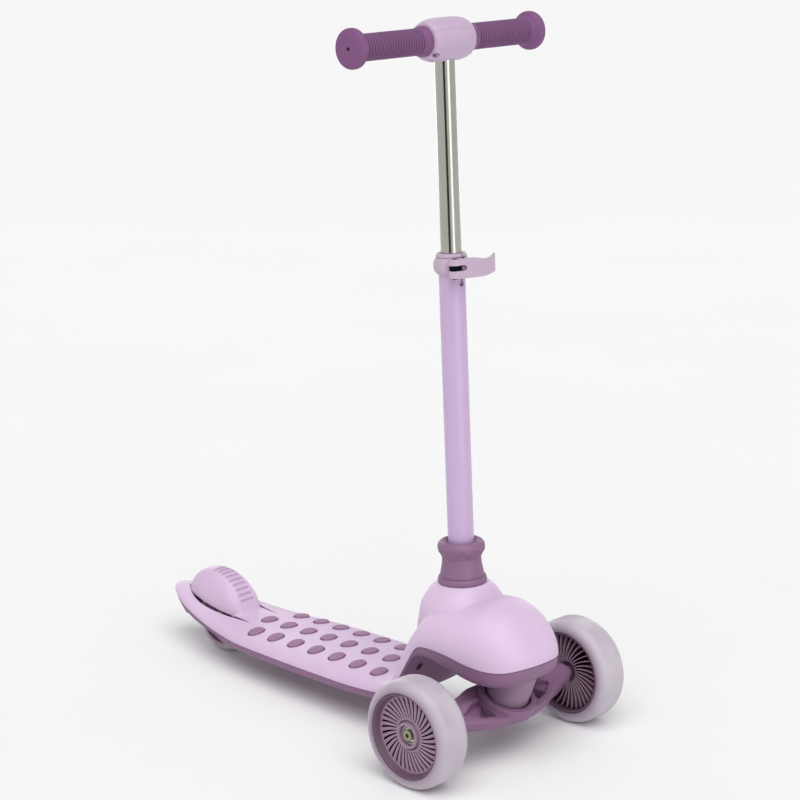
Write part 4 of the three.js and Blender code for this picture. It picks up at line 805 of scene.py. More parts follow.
# %% The beam
TRUCK_AXLE = KINGPIN @ shifted(0, PIN_BEHIND, 0) @ tilted(1, 90)
BEAM_SIDE = np.array([
    (14.1, -27.8), (30.3, -26.2), (48.5, -21.4), (65.6, -14.8), (85.8, -8), (101, -3.7),
    (101, 21.3), (80.8, 22.4), (50.5, 27.2), (32.3, 33.3),
])
RELIEF_SHALLOW = np.array([(70, -1), (49, 7.5), (34.5, 8.2), (53, -13)])
RELIEF_DEEP = np.array([(34.6, 7.9), (33.5, -5), (34, -18.5), (52.8, -13.1)])
RING_PROFILE = [(0, -5.9), (26.8, -5.9), (32.8, 0.5), (32.8, 14.5), (0, 14.5)]


def relief(corners, side, low):
    """A pocket down to that height; its corners are a little rounded."""
    return slab("relief", eased(corners * (side, 1), 2, 5), low, 20, KINGPIN, 0)


def make_truck():
    """Beam, ring wall and stubs joined, less the pockets and the ways of pin and axle."""
    outline = eased(np.concatenate([BEAM_SIDE, BEAM_SIDE[::-1] * (-1, 1)]), 9, 6)
    truck = combined(
        slab("truck", outline, -6, 8, KINGPIN, 2.4),
        turned("ring", RING_PROFILE, KINGPIN, 128, 1.2, ring=False),
        *[rod("stub", 12.5, *span, TRUCK_AXLE, 2) for span in both_sides(36, 107.2)],
        *[rod("nose", 7, *span, TRUCK_AXLE, 0.5, 48) for span in both_sides(104, 115.9)],
        how="UNION",
    )
    return combined(
        truck,
        rod("pocket", 26.8, 8, 22, KINGPIN, 0.4, 96), rod("pin", 5.4, -12, 14.5, KINGPIN, 0),
        *[relief(RELIEF_SHALLOW, side, 4.6) for side in BOTH],
        *[relief(RELIEF_DEEP, side, -3.4) for side in BOTH],
        *[rod("axle_way", 4, *span, TRUCK_AXLE, 0, 32) for span in both_sides(60, 130)],
        slab("hex", hexagon(8.4), -12, -1, KINGPIN, 0),
        rod("drain", 2.2, -12, 4, KINGPIN @ shifted(38, -13.5, 0), 0, 24),
    )


truck = make_truck()
tell(truck)

# %% [markdown]
# The drum above the beam is turned, and its top is trimmed by the body's own underside, so that
# it meets the nose with the same thin gap all round.

# %% The steering drum
DRUM_PROFILE = [(5.4, 10.1), (23.6, 10.1), (24.4, 54), (20.5, 54), (20.5, 14.1), (5.4, 14.1)]
housing = combined(
    turned("steering_drum", DRUM_PROFILE, KINGPIN, 128, 1),
    shell("belly", body_grid(over=False, flat=30, raised=-GAP, rows=200)),
)
tell(housing)

# %% [markdown]
# ## Collar and button
# A ring seats the stem on the neck. The lock collar above it is turned by hand: twelve shallow
# oval dimples are pressed in its flare. They are made as a dip in the turned surface, so that
# their edges stay soft.

# %% Lock collar
COLLAR_OUTER = np.array([
    (24.3, 190.9), (24.4, 191.6), (24.1, 194), (23.3, 198), (22.5, 202), (21.9, 206), (21.6, 210),
    (21.55, 212.4), (21.7, 213), (22.15, 213.3), (22.4, 214), (22.9, 215.3), (23.8, 216.8),
    (24.9, 218.4), (25.8, 220.2), (26.2, 222), (26.3, 224), (26, 226.2), (25.2, 228),
    (24, 229.6), (22.4, 230.7), (20.6, 231.1), (19, 230.8), (17.6, 229.9), (16.6, 228.6),
    (15.6, 227.6),
])
COLLAR_INNER = np.array([(14.7, 227.4), (14.7, 223.2), (18.3, 223.1), (18.3, 190.9)])
DIMPLE_TURN, DIMPLE_LEVEL, DIMPLE_DEPTH = 30, 219.6, 1.15
DIMPLE_HALF_TURN, DIMPLE_HALF_HEIGHT = 9.6, 4.6


def collar_grid():
    """Turned rings; the outer ones dip where a dimple's ellipse covers them."""
    outer = eased(COLLAR_OUTER, 2, 4, closed=False)
    grid = turned_grid(np.concatenate([outer, COLLAR_INNER]), UPRIGHT, 240)
    turn = np.degrees(np.arctan2(grid[..., 1], grid[..., 0]))
    across = (np.mod(turn, DIMPLE_TURN) - DIMPLE_TURN / 2) / DIMPLE_HALF_TURN
    along = (grid[..., 2] - DIMPLE_LEVEL) / DIMPLE_HALF_HEIGHT
    inside = np.clip(1 - (across**2 + along**2), 0, 1)
    reach = np.hypot(grid[..., 0], grid[..., 1])
    dip = DIMPLE_DEPTH * inside**0.55 * (reach > 20)
    grid[..., :2] *= ((reach - dip) / reach)[..., None]
    return moved(grid, STEM)


lock_collar = shell("lock_collar_turned", collar_grid(), ring=True, degrees=50)
tell(lock_collar)

# %% Collar ring and button
BASE_PROFILE = [
    (14.8, 180.6), (18.3, 180.6), (18.3, 183.5), (26, 183.5), (27, 184.6), (27.1, 188.4),
    (26.2, 190.3), (25, 190.6), (14.8, 190.6),
]
BUTTON_SIDE = [(22.7, 169.8), (36.1, 169.8), (36.1, 175.8), (29.1, 182.4), (22.7, 182.4)]
collar_base = turned("collar_ring", BASE_PROFILE, STEM, 128, 0.8)
button_facing = STEM @ tilted(2, 90) @ tilted(0, 90)
button = slab("button_tab", eased(BUTTON_SIDE, 2, 6), -8, 8, button_facing, 1.2)
tell(collar_base, button)

# %% [markdown]
# ## Stem tube and height clamp
# The painted tube is slit at the top and ends the slit in a keyhole, so that the clamp can squeeze
# it on the chrome tube. A bush lines its mouth. The clamp collar is a bulged ring with two ears;
# a lever on an upright pin pulls the ears together. Seen from the front the lever is a curved
# band: its top edge sags and rises to a sharp tip, and its lower corner is round.

# %% Tubes
TUBE_PROFILE = [(12.3, 118), (14.3, 118), (14.3, 544.5), (12.3, 544.5)]
BUSH_PROFILE = [
    (11.4, 514.5), (12, 514.5), (12, 545.1), (16.8, 545.1), (16.8, 547.2), (15, 549.1),
    (11.4, 549.1),
]
BAR_PROFILE = [(9.6, 300), (11.1, 300), (11.1, 768.6), (9.6, 768.6)]
BAR_WAY = 11.4
FORWARD = tilted(0, 90)
stem_tube = combined(
    turned("stem_tube", TUBE_PROFILE, STEM, 128, 0.4),
    block("slit", (-1.4, -18, 516), (1.4, 0, 549), STEM),
    rod("keyhole", 2.7, 0, 18, STEM @ shifted(0, 0, 516.2) @ FORWARD, 0, 32),
)
bush = combined(
    turned("bush_lip", BUSH_PROFILE, STEM, 128, 0.9),
    block("bush_slit", (-0.9, -25, 510), (0.9, 0, 555), STEM),
)
bar_upright = combined(
    turned("bar_upright", BAR_PROFILE, STEM, 128, 0.3),
    rod("bar_way", BAR_WAY, -31, 31, BAR, 0, 96),
)
tell(stem_tube, bush, bar_upright)

# %% Clamp collar
CLAMP_MIDDLE, CLAMP_HALF, EAR_HALF = 535.8, 9, 4.5
PIVOT_X, PIVOT_Y = -14.5, -18.5
PIVOT = STEM @ shifted(PIVOT_X, PIVOT_Y, 0)


def make_clamp():
    """A bulged ring with ears, less the bolt's hole, the lever's room and the slit."""
    low, high = CLAMP_MIDDLE - CLAMP_HALF, CLAMP_MIDDLE + CLAMP_HALF
    share = np.linspace(-1, 1, 17)
    bulge = np.stack([19.7 - 3.4 * np.abs(share) ** 2.6, CLAMP_MIDDLE + CLAMP_HALF * share], 1)
    profile = [(14.6, high), (14.6, low), *bulge]
    ring = shell("clamp_ring", turned_grid(profile, STEM, 128), ring=True)
    ears = ((-7, -24.5, CLAMP_MIDDLE - EAR_HALF), (7, -16.3, CLAMP_MIDDLE + EAR_HALF))
    across = STEM @ shifted(0, PIVOT_Y, CLAMP_MIDDLE) @ tilted(1, 90)
    return combined(
        combined(ring, block("ears", *ears, STEM), how="UNION"),
        rod("bolt_hole", 2.8, -20, 20, across, 0, 32), rod("head_hole", 3.9, 7, 20, across, 0, 32),
        rod("lever_room", 7.2, low - 4, high + 4, PIVOT, 0),
        block("clamp_slit", (-1.6, -29, low - 4), (1.6, 0, high + 4), STEM),
    )


clamp = make_clamp()
tell(clamp)


# %% The lever's outlines
LEVER_FACE = [
    (-22, 545.4), (2, 545.4), (9, 544.7), (15, 543.1), (20, 542.3), (25, 542.7), (29, 544.6),
    (32.4, 548), (32.9, 541), (32.8, 536), (32.1, 531), (30.4, 527.8), (25, 525.6), (18, 524.2),
    (8, 523.9), (-22, 525),
]
FACE_ROUNDING = np.array([0.5] + [3] * 6 + [0.4] + [3] * 8)
LEVER_FRONT, LEVER_TIP, LEVER_HALF, EYE_RADIUS = 24.9, (30, -33.2), 1.8, 6.8
LEVER_FACING = STEM @ shifted(PIVOT_X, PIVOT_Y, CLAMP_MIDDLE) @ tilted(2, -45.5) @ FORWARD


def quadratic(start, middle, end, steps=24):
    """A parabola from start to end whose tangents meet in the middle point."""
    start, middle, end = (np.array(p, float) for p in (start, middle, end))
    t = np.linspace(0, 1, steps)[:, None]
    return (1 - t) ** 2 * start + 2 * t * (1 - t) * middle + t**2 * end


def lever_plan():
    """From above: an eye round the pivot, then a strap that bends out to the free tip."""
    front, half, (tip_x, tip_y) = -LEVER_FRONT, LEVER_HALF, LEVER_TIP
    outer = quadratic((PIVOT_X, PIVOT_Y - EYE_RADIUS), (7, front - 5.4), (tip_x, tip_y - half))
    end = circle_part(LEVER_TIP, half, -90, 90)
    inner = quadratic((tip_x, tip_y + half), (10.6, front - half), (PIVOT_X + EYE_RADIUS, front))
    eye = circle_part((PIVOT_X, PIVOT_Y), EYE_RADIUS, 0, 270, 48)
    return np.concatenate([outer, end[1:-1], inner, eye[:-1]])


def slot_window(half):
    """A column with round ends that looks through the lever's slot."""
    ends = [circle_part((9.8, 0), half, -90, 90), circle_part((-4, 0), half, 90, 270)]
    return slab("slot_window", np.concatenate(ends), -18, 40, LEVER_FACING, 0)


def bolt_window(radius):
    """A round column at the slot's outer end."""
    return rod("bolt_window", radius, -18, 40, LEVER_FACING @ shifted(9.9, 0, 0), 0, 32)


def bolt_room():
    """The sector that the bolt sweeps in the lever's eye, cut from whatever swings round it."""
    sector = np.concatenate([[(0, 0)], circle_part((0, 0), 10.8, -45, 165, 40)])
    return slab("bolt_room", sector, CLAMP_MIDDLE - 3, CLAMP_MIDDLE + 3, PIVOT, 0)


def behind_strap(name, back, half):
    """The strap's plan set back a little, as a thin band at the clamp's middle."""
    plan = lever_plan() + (0, back)
    return slab(name, plan, CLAMP_MIDDLE - half, CLAMP_MIDDLE + half, STEM, 0)


# %% The lever and what its slot shows
def make_lever():
    """The plan carried upwards, kept inside the face seen from the front, less eye and slot."""
    lever = slab("lever_strap", lever_plan(), 523.4, 547.4, STEM, 0)
    face = slab("face", eased(LEVER_FACE, FACE_ROUNDING), 0, 45, STEM @ FORWARD, 0)
    return combined(
        combined(lever, face, how="INTERSECT"), rod("pivot_hole", 3.6, 515, 555, PIVOT, 0, 48),
        bolt_room(), slot_window(3.0),
    )


def make_cam():
    """What the slot shows: the dark cam behind the strap, near black as painted shade for the slot's
    depth, and the bolt's round end in it.
    """
    cam = combined(behind_strap("lever_cam_and_painted_shade", 1.7, 2.9), slot_window(2.9), how="INTERSECT")
    end = combined(behind_strap("lever_bolt_end", 1.3, 2.8), bolt_window(2.6), how="INTERSECT")
    return combined(cam, bolt_window(2.7), bolt_room()), end


lever = make_lever()
lever_cam_and_painted_shade, lever_bolt_end = make_cam()
bevel = lever.modifiers.new("edges", "BEVEL")
bevel.width, bevel.segments, bevel.limit_method = 0.5 * MM, 2, "ANGLE"
bevel.angle_limit, bevel.use_clamp_overlap = math.radians(40), True
tell(lever, lever_cam_and_painted_shade, lever_bolt_end)

# %% [markdown]
# ## T-bar
# The bar's hub is a barrel in two halves that meet in a slanting seam, with wells for its screws.
# The grips are turned: a smooth ring next to the hub, fine ribs for the fingers, and a flare into
# a flat end with a small vent hole.

# %% Hub halves
HUB_LINE = [(0, 31), (16.6, 31), (19, 30), (20.6, 27.6), (21.9, 23), (22.7, 17), (23, 9)]
HUB_BOX, HALF_GAP = 46, 0.1


def make_hub_half(name, low, high):
    """The barrel between two heights off the seam plane, less the bores and screw wells."""
    side = eased(HUB_LINE, 2.5, 4, closed=False)
    barrel = shell(name, turned_grid(np.concatenate([side, side[::-1] * (1, -1)]), BAR, 160))
    box = ((-HUB_BOX, -HUB_BOX, low), (HUB_BOX, HUB_BOX, high))
    half = combined(barrel, block("half", *box, BAR_MIDDLE @ tilted(0, -31)), how="INTERSECT")
    cutters = [
        rod("bar_bore", BAR_WAY, -HUB_BOX, HUB_BOX, BAR, 0, 96),
        rod("stem_bore", BAR_WAY, 728, BAR_HEIGHT, STEM, 0, 96),
    ]
    for side_sign in BOTH:
        well = BAR_MIDDLE @ shifted(27 * side_sign, 0, 0) @ tilted(0, -44)
        seat = BAR_MIDDLE @ tilted(0, 33) @ shifted(26 * side_sign, -14.2, 0)
        cutters += [
            rod("screw_well", 3.6, -HUB_BOX, -14.5, well, 0, 48),
            rod("recess", 3.2, -HUB_BOX, -6.5, seat, 0, 48),
            rod("screw_way", 1.75, -HUB_BOX, 6, seat, 0, 32),
        ]
    return combined(half, *cutters)


hub_front = make_hub_half("hub_front_half", -HUB_BOX, -HALF_GAP)
hub_back = make_hub_half("hub_rear_half", HALF_GAP, HUB_BOX)
tell(hub_front, hub_back)

# %% Grips
RIB_COUNT, RIB_START, RIB_END = 22, 41.5, 124.0
RIB_TOP, RIB_DEPTH = 14.1, 1.25
GRIP_RING = [
    (11.4, 31.3), (15.9, 31.3), (16.2, 32), (16.2, 35), (15.2, 38.6), (14, 40.2),
    (13.95, RIB_START),
]
GRIP_FLARE = [
    (13.95, RIB_END), (14, 125.5), (15.4, 127.2), (18.6, 129.2), (20.6, 131.2), (21, 134),
    (20.9, 136.4), (20.1, 138.6), (18, 139.4), (16.4, 139.5), (15.6, 140.3), (14.8, 140.6),
    (1.8, 140.6), (1.8, 137.6), (11.4, 137.6),
]


def grip_profile():
    """Ribs are a raised cosine along the grip; the flare runs into the flat end."""
    along = np.linspace(RIB_START, RIB_END, RIB_COUNT * 12 + 1)
    wave = np.abs(np.cos(np.pi * RIB_COUNT * (along - RIB_START) / (RIB_END - RIB_START)))
    ribs = np.stack([RIB_TOP - RIB_DEPTH * (1 - wave) ** 1.3, along], 1)
    start = eased(GRIP_RING, 1, 4, closed=False)
    flare = eased(GRIP_FLARE, 1.2, 4, closed=False)
    return np.concatenate([start, ribs[1:-1], flare])


def make_grip(hand, side):
    """The profile turned about the bar, outwards to that side."""
    grid = turned_grid(grip_profile(), BAR_MIDDLE @ tilted(1, 90 * side))
    return shell(f"grip_ribbed_{hand}", grid, ring=True, degrees=50)


grips = {hand: make_grip(hand, side) for hand, side in zip(HANDS, BOTH)}
tell(*grips.values())

# %% [markdown]
# ## Writing a material as sums
# A finish is a net of small nodes. To keep it readable, a value in the net is wrapped so that
# plus, minus and times add the Math nodes by themselves, and one method adds any other node.


# %% Values and finishes
class Value:
    """A number that runs over the surface; arithmetic on it adds Math nodes."""

    def __init__(self, finish, socket):
        self.finish, self.socket = finish, socket

    def __add__(self, other):
        return self.finish.math("ADD", self, other)

    def __sub__(self, other):
        return self.finish.math("SUBTRACT", self, other)

    def __rsub__(self, other):
        return self.finish.math("SUBTRACT", other, self)

    def __mul__(self, other):
        return self.finish.math("MULTIPLY", self, other)

    __radd__, __rmul__ = __add__, __mul__


class Finish:
    """One material. Lengths in its patterns are metres of the object's own coordinates."""

    def __init__(self, name):
        self.material = bpy.data.materials.new(name)
        self.material.use_nodes = True
        self.tree = self.material.node_tree
        self.tree.nodes.clear()
        self.place = self.node("TexCoord", output="Object")

    def node(self, kind, settings=None, sockets=None, output=0):
        """A node of that kind: its settings first, then a value or a link for each socket."""
        node = self.tree.nodes.new("ShaderNode" + kind)
        for key, value in (settings or {}).items():
            if key == "stops":
                set_stops(node.color_ramp, value)
            else:
                setattr(node, key, value)
        for key, value in (sockets or {}).items():
            if isinstance(value, Value):
                self.tree.links.new(value.socket, node.inputs[key])
            else:
                node.inputs[key].default_value = value
        return Value(self, node.outputs[output]) if node.outputs else None

    def math(self, operation, *values):
        """One Math node on one or two values."""
        return self.node("Math", {"operation": operation}, dict(enumerate(values)))

    def along(self, axis):
        """The place along X, Y or Z."""
        return self.node("SeparateXYZ", sockets={"Vector": self.place}, output=axis)

    def between(self, value, low, high):
        """1 where the value lies between the two, else 0."""
        return self.math("GREATER_THAN", value, low) * self.math("LESS_THAN", value, high)

    def spread(self, value, low, high):
        """0 at the low value and 1 at the high one."""
        return self.node("MapRange", sockets={"Value": value, "From Min": low, "From Max": high})

    def noise(self, per_metre, detail=3.0, place=None):
        """Cloudy noise from 0 to 1 with that many clouds to a metre."""
        sockets = {"Vector": place or self.place, "Scale": per_metre, "Detail": detail}
        return self.node("TexNoise", sockets=sockets, output="Fac")

    def ramp(self, value, *stops):
        """A value mapped through stops of (place, grey or colour)."""
        return self.node("ValToRGB", {"stops": stops}, {"Fac": value})

    def mix(self, share, first, second):
        """A colour between two colours."""
        return self.node("Mix", {"data_type": "RGBA"}, {0: share, 6: first, 7: second}, output=2)

    def bump(self, height, strength, depth=0.0001):
        """A bumped normal; the depth is in metres."""
        sockets = {"Height": height, "Strength": strength, "Distance": depth}
        return self.node("Bump", sockets=sockets)

    def shade(self, **sockets):
        """The surface itself, joined to the material's output."""
        names = {key.replace("_", " "): value for key, value in sockets.items()}
        surface = self.node("BsdfPrincipled", sockets=names)
        self.node("OutputMaterial", sockets={"Surface": surface})
        return self.material


# %% Colours
def set_stops(ramp, stops):
    """A ramp's stops; a single number is a grey."""
    while len(ramp.elements) < len(stops):
        ramp.elements.new(0.5)
    for element, (place, colour) in zip(ramp.elements, stops):
        element.position = place
        element.color = colour if hasattr(colour, "__len__") else (colour, colour, colour, 1)


def paint(red, green, blue):
    """A screen colour, 0 to 255, as the linear colour that shaders use."""
    return (*(((c / 255 + 0.055) / 1.055) ** 2.4 for c in (red, green, blue)), 1.0)


def dimmed(colour, share):
    """The colour made darker."""
    return (*(share * c for c in colour[:3]), 1.0)


# %% [markdown]
# ## Finishes
# The mouldings are satin plastic: an almost even colour with faint flow clouds, a fine
# spark-eroded grain that breaks the gloss, and slightly rubbed patches. Each is given by its two
# close tones, as they look on a screen, then its roughness and the strength of its grain.


# %% Moulded plastic
def moulded(name, colour, shadow, rough, grain, painted_shade=None, shine=0.45):
    """Satin plastic: two close tones in soft clouds, a fine grain and a changing gloss. The painted
    shade, if given, is a share that is 1 where a groove is darkened by painted shade."""
    finish = Finish(name)
    clouds, grains = finish.noise(14, 4), finish.noise(2600, 2)
    light, dark = paint(*colour), paint(*shadow)
    tone = finish.mix(finish.ramp(clouds, (0.35, 0.0), (0.7, 1.0)), light, dark)
    if painted_shade:
        # painted shade: the grooves darken towards half the darker tone
        tone = finish.mix(painted_shade(finish) * 0.6, tone, dimmed(dark, 0.5))
    gloss = rough - 0.06 + clouds * 0.08 + grains * 0.05
    height = grains * 0.7 + finish.noise(420, 3) * 0.5
    return finish.shade(
        Base_Color=tone, Roughness=gloss, Normal=finish.bump(height, grain), IOR=1.47,
        Specular_IOR_Level=shine,
    )


def tread_painted_shade(finish):
    """Painted shade: 1 in the steep side of the brake's grooves, where their shade falls. It is the
    turn about the crest's axis, the cosine of the grooves' beat sharpened, kept to the crest."""
    x, y, z = (finish.along(axis) for axis in "XYZ")
    middle = (CREST_Y - AXLE_TO_CENTRE) * MM
    turn = finish.math("ARCTAN2", middle - y, z - CREST_Z * MM)
    step, steep_side = math.radians(GROOVE_TURN), math.radians(0.7)
    beat = finish.math("COSINE", (turn + steep_side) * (2 * math.pi / step))
    inside = finish.between(turn, -step / 2, step * (GROOVE_COUNT - 0.5))
    inside = inside * finish.math("LESS_THAN", finish.math("ABSOLUTE", x), 0.0102)
    return finish.math("POWER", 0.5 + beat * 0.5, 3.0) * inside


LILAC_TONES = (219, 193, 222), (213, 186, 217)
LILAC = moulded("lilac_plastic", *LILAC_TONES, 0.46, 0.16)
# the brake's fender carries painted shade on the steep side of its grooves
TREAD = moulded("brake_plastic", *LILAC_TONES, 0.46, 0.16, tread_painted_shade)
HUB = moulded("hub_plastic", (201, 176, 203), (194, 169, 197), 0.44, 0.16)
CLAMP = moulded("clamp_plastic", (197, 176, 197), (190, 169, 190), 0.46, 0.16)
MAUVE = moulded("mauve_plastic", (141, 104, 137), (132, 97, 129), 0.5, 0.2)
DRUM = moulded("grey_mauve_plastic", (154, 125, 149), (143, 114, 139), 0.5, 0.2)
# dark mauve: the bearings' inner shields, and painted shade on the shell screws in their deep holes
SHIELD = moulded("shield_and_painted_shade", (74, 58, 70), (62, 48, 58), 0.6, 0.2)
# near black; on the lever's cam it is painted shade for the deep slot
BLACK = moulded("black_oxide_and_painted_shade", (8, 6, 8), (5, 4, 5), 0.85, 0.2, shine=0.12)
NYLON = moulded("dark_nylon", (91, 74, 94), (78, 64, 82), 0.6, 0.3)

# %% [markdown]
# The grips and pads are soft rubber, matt with a fine skin. The painted tube is smoother and has a
# clear coat over its faint orange peel.


# %% Rubber and paint
def groove_painted_shade(finish):
    """Painted shade: 1 in the middle of a groove and 0 on a rib. It is one less the cosine along
    the bar, sharpened, and nothing outside the ribbed length."""
    along = finish.math("ABSOLUTE", finish.along("X"))
    turns = (along - RIB_START * MM) * (math.pi * RIB_COUNT / ((RIB_END - RIB_START) * MM))
    wave = finish.math("ABSOLUTE", finish.math("COSINE", turns))
    ribbed = finish.between(along, RIB_START * MM, RIB_END * MM)
    return finish.math("POWER", 1 - wave, 1.4) * ribbed


def rubbered(name, colour, shadow, grooves=False):
    """Soft grip rubber: matt, with a fine skin; the grip's grooves carry painted shade."""
    finish = Finish(name)
    clouds, grains = finish.noise(30, 4), finish.noise(3200, 2)
    tone = finish.mix(clouds, paint(*colour), paint(*shadow))
    if grooves:
        # painted shade: the grooves darken towards a quarter of the colour
        tone = finish.mix(groove_painted_shade(finish), tone, dimmed(paint(*colour), 0.25))
    height = grains + finish.noise(900, 2) * 0.6
    return finish.shade(
        Base_Color=tone, Roughness=0.56 + clouds * 0.12 + grains * 0.06,
        Normal=finish.bump(height, 0.25, 0.00012), Specular_IOR_Level=0.4,
    )


def painted(name, colour, shadow):
    """Powder paint under a clear coat, with the faint orange peel such paint has."""
    finish = Finish(name)
    clouds, peel = finish.noise(9, 3), finish.noise(520, 2)
    return finish.shade(
        Base_Color=finish.mix(clouds, paint(*colour), paint(*shadow)),
        Roughness=0.34 + clouds * 0.08, Normal=finish.bump(peel, 0.12),
        Coat_Weight=0.35, Coat_Roughness=0.16, Specular_IOR_Level=0.45,
    )


# the grip's grooves carry painted shade
GRIP = rubbered("grip_rubber", (131, 84, 131), (121, 77, 122), grooves=True)
SOFT = rubbered("soft_rubber", (136, 93, 137), (127, 86, 128))
PAD = rubbered("pad_rubber", (160, 122, 156), (152, 115, 149))
PAINT = painted("tube_paint", (204, 177, 214), (195, 167, 206))

# %% [markdown]
# The wheels need patterns about their own middle. Tyres are cast polyurethane, cloudy inside, with
# painted shade in the hub's mauve towards the rim. A front hub is a paler mauve than the rest, and
# what lies deep in it is darkened by painted shade: the barrel's wall by its distance from the
# axle, the blades and the slots' walls by their depth behind the web.

# %% Patterns about a wheel's middle
CENTRES = {
    "left": (TRACK_HALF * MM, -AXLE_TO_CENTRE * MM, FRONT_RADIUS * MM),
    "right": (-TRACK_HALF * MM, -AXLE_TO_CENTRE * MM, FRONT_RADIUS * MM),
    "rear": (0, (REAR_AXLE - AXLE_TO_CENTRE) * MM, REAR_RADIUS * MM),
}


def share_out(finish, centre, inner, outer):
    """0 at the inner distance from the axle and 1 at the outer one. The distance is found by
    moving the pattern's origin to the wheel's middle and leaving out the axle's direction."""
    sockets = {"Vector": finish.place, "Location": tuple(-c for c in centre)}
    centred = finish.node("Mapping", {"vector_type": "POINT"}, sockets)
    flat = finish.node("VectorMath", {"operation": "MULTIPLY"}, {0: centred, 1: (0, 1, 1)})
    distance = finish.node("VectorMath", {"operation": "LENGTH"}, {0: flat}, output="Value")
    return finish.spread(distance, inner, outer)


def share_deep(finish, middle, reach):
    """0 at that reach inside the wheel's middle plane and 1 at that reach outside it."""
    across = finish.math("ABSOLUTE", finish.along("X"))
    return finish.spread(across, middle - reach, middle + reach)


# %% Tyre and wheel plastic
def cast_tyre(side, inner):
    """Cloudy polyurethane with painted shade in the hub's mauve, strongest at the inner distance."""
    finish = Finish(f"cast_tyre_{side}")
    share = share_out(finish, CENTRES[side], inner, TYRE_SIZES[side][0] * MM)
    clouds = finish.noise(26, 5)
    cloudy = finish.ramp(clouds, (0.36, 0.0), (0.68, 1.0))
    body = finish.mix(cloudy, paint(184, 174, 187), paint(198, 189, 198))
    # painted shade: mauve from the rim outwards, fading to none at the tread
    rim_painted_shade = finish.ramp(share, (0.0, 1.0), (0.55, 0.28), (1.0, 0.0))
    tone = finish.mix(rim_painted_shade, body, paint(150, 128, 148))
    height = clouds + finish.noise(1500, 2) * 0.25
    return finish.shade(
        Base_Color=tone, Roughness=0.36 + clouds * 0.14, Normal=finish.bump(height, 0.1, 0.0002),
        Coat_Weight=0.12, Coat_Roughness=0.25, Specular_IOR_Level=0.5,
    )


def wheel_plastic(hand):
    """Satin plastic with a fine grain, darkened by painted shade with depth."""
    finish, centre = Finish(f"wheel_plastic_{hand}"), CENTRES[hand]
    clouds, grains = finish.noise(30, 4), finish.noise(2600, 2)
    web = finish.mix(clouds, paint(161, 133, 152), paint(151, 122, 142))
    # painted shade: the barrel's wall darker by its distance from the axle, what lies behind the web
    # darker by its depth
    wall = finish.ramp(share_out(finish, centre, 0.04, 0.048), (0.2, 0.0), (0.32, 1.0))
    depth = share_deep(finish, abs(centre[0]), 0.018)
    deep_painted_shade = finish.ramp(depth, (0.06, 0.0), (0.22, 0.75), (0.8, 1.0), (0.83, 0.0))
    tone = finish.mix(wall, web, paint(104, 78, 96))
    return finish.shade(
        Base_Color=finish.mix(deep_painted_shade, tone, paint(46, 28, 38)),
        Roughness=0.42 + clouds * 0.08 + grains * 0.05, Normal=finish.bump(grains, 0.2),
        Specular_IOR_Level=0.45,
    )


# where each tyre's painted shade starts, in metres from its axle
TYRE_PAINTED_SHADE_FROM = {"left": 0.047, "right": 0.047, "rear": 0.0275}
TYRES = {side: cast_tyre(side, inner) for side, inner in TYRE_PAINTED_SHADE_FROM.items()}
# the front hubs carry painted shade in their depths
WHEEL_PLASTIC = {hand: wheel_plastic(hand) for hand in HANDS}

# %% [markdown]
# Metal is nearly all reflection, so its look comes from roughness: long faint streaks on the drawn
# chrome tube, and a duller, cloudy film on the zinc plated fasteners.


# %% Metals
def metal(name, colour, rough, streaks, stretch=(1, 1, 1)):
    """Bare metal whose gloss and brightness follow stretched noise."""
    finish, light = Finish(name), paint(*colour)
    sockets = {"Vector": finish.place, "Scale": stretch}
    drawn = finish.node("Mapping", {"vector_type": "POINT"}, sockets)
    lines, clouds = finish.noise(streaks, 3, drawn), finish.noise(60, 4)
    return finish.shade(
        Base_Color=finish.mix(clouds * 0.6 + lines * 0.3, light, dimmed(light, 0.82)),
        Metallic=1.0, Roughness=rough + lines * 0.08 + clouds * 0.05,
        Normal=finish.bump(lines, 0.05, 0.00005),
    )


CHROME = metal("chrome", (176, 176, 168), 0.1, 500, (1, 1, 0.04))
ZINC = metal("zinc", (196, 198, 196), 0.26, 900)
YELLOW_ZINC = metal("yellow_zinc", (164, 160, 134), 0.24, 900)
print("finishes:", len(bpy.data.materials))

# %% [markdown]
# ## Dressing the frame
# Each new piece takes its finish, moves with its body and stands for its CAD piece. The small
# inner pieces keep their CAD shape and only get a finish.


# %% Pieces and what they stand for
def dress(piece, material, body, slot, *nodes):
    """Finish, body and the CAD pieces that the new piece stands for; the slot is not used."""
    piece.data.materials.clear()
    piece.data.materials.append(material)
    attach(piece, body)
    if nodes:
        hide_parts(*nodes)


dress(deck_top, LILAC, "chassis", "lilac", "deck_top_shell")
dress(under_tray, MAUVE, "chassis", "mauve", "lower_shell")
dress(deck_pads, PAD, "chassis", "rubber", "deck_mat")
dress(fender, TREAD, "brake", "lilac", "brake_fender")
dress(truck, MAUVE, "truck", "mauve", "truck_beam")
dress(housing, DRUM, "chassis", "mauve", "steering_housing")
dress(lock_collar, MAUVE, "collar", "mauve", "lock_collar")
dress(collar_base, MAUVE, "chassis", "mauve", "collar_base")
dress(button, MAUVE, "button", "mauve", "release_button")
dress(stem_tube, PAINT, "chassis", "paint", "outer_tube")
dress(bush, CLAMP, "chassis", "lilac", "tube_bush")
dress(clamp, CLAMP, "chassis", "lilac", "clamp_collar")
dress(lever, CLAMP, "lever", "lilac", "clamp_lever")
dress(bar_upright, CHROME, "handlebar", "chrome", "inner_tube")
dress(hub_front, HUB, "handlebar", "lilac", "bar_hub_front")
dress(hub_back, HUB, "handlebar", "lilac", "bar_hub_rear")
dress(tyres["rear"], TYRES["rear"], "rear_wheel", "tyre", "rear_tyre")
dress(hub_rear, MAUVE, "rear_wheel", "mauve", "rear_hub")
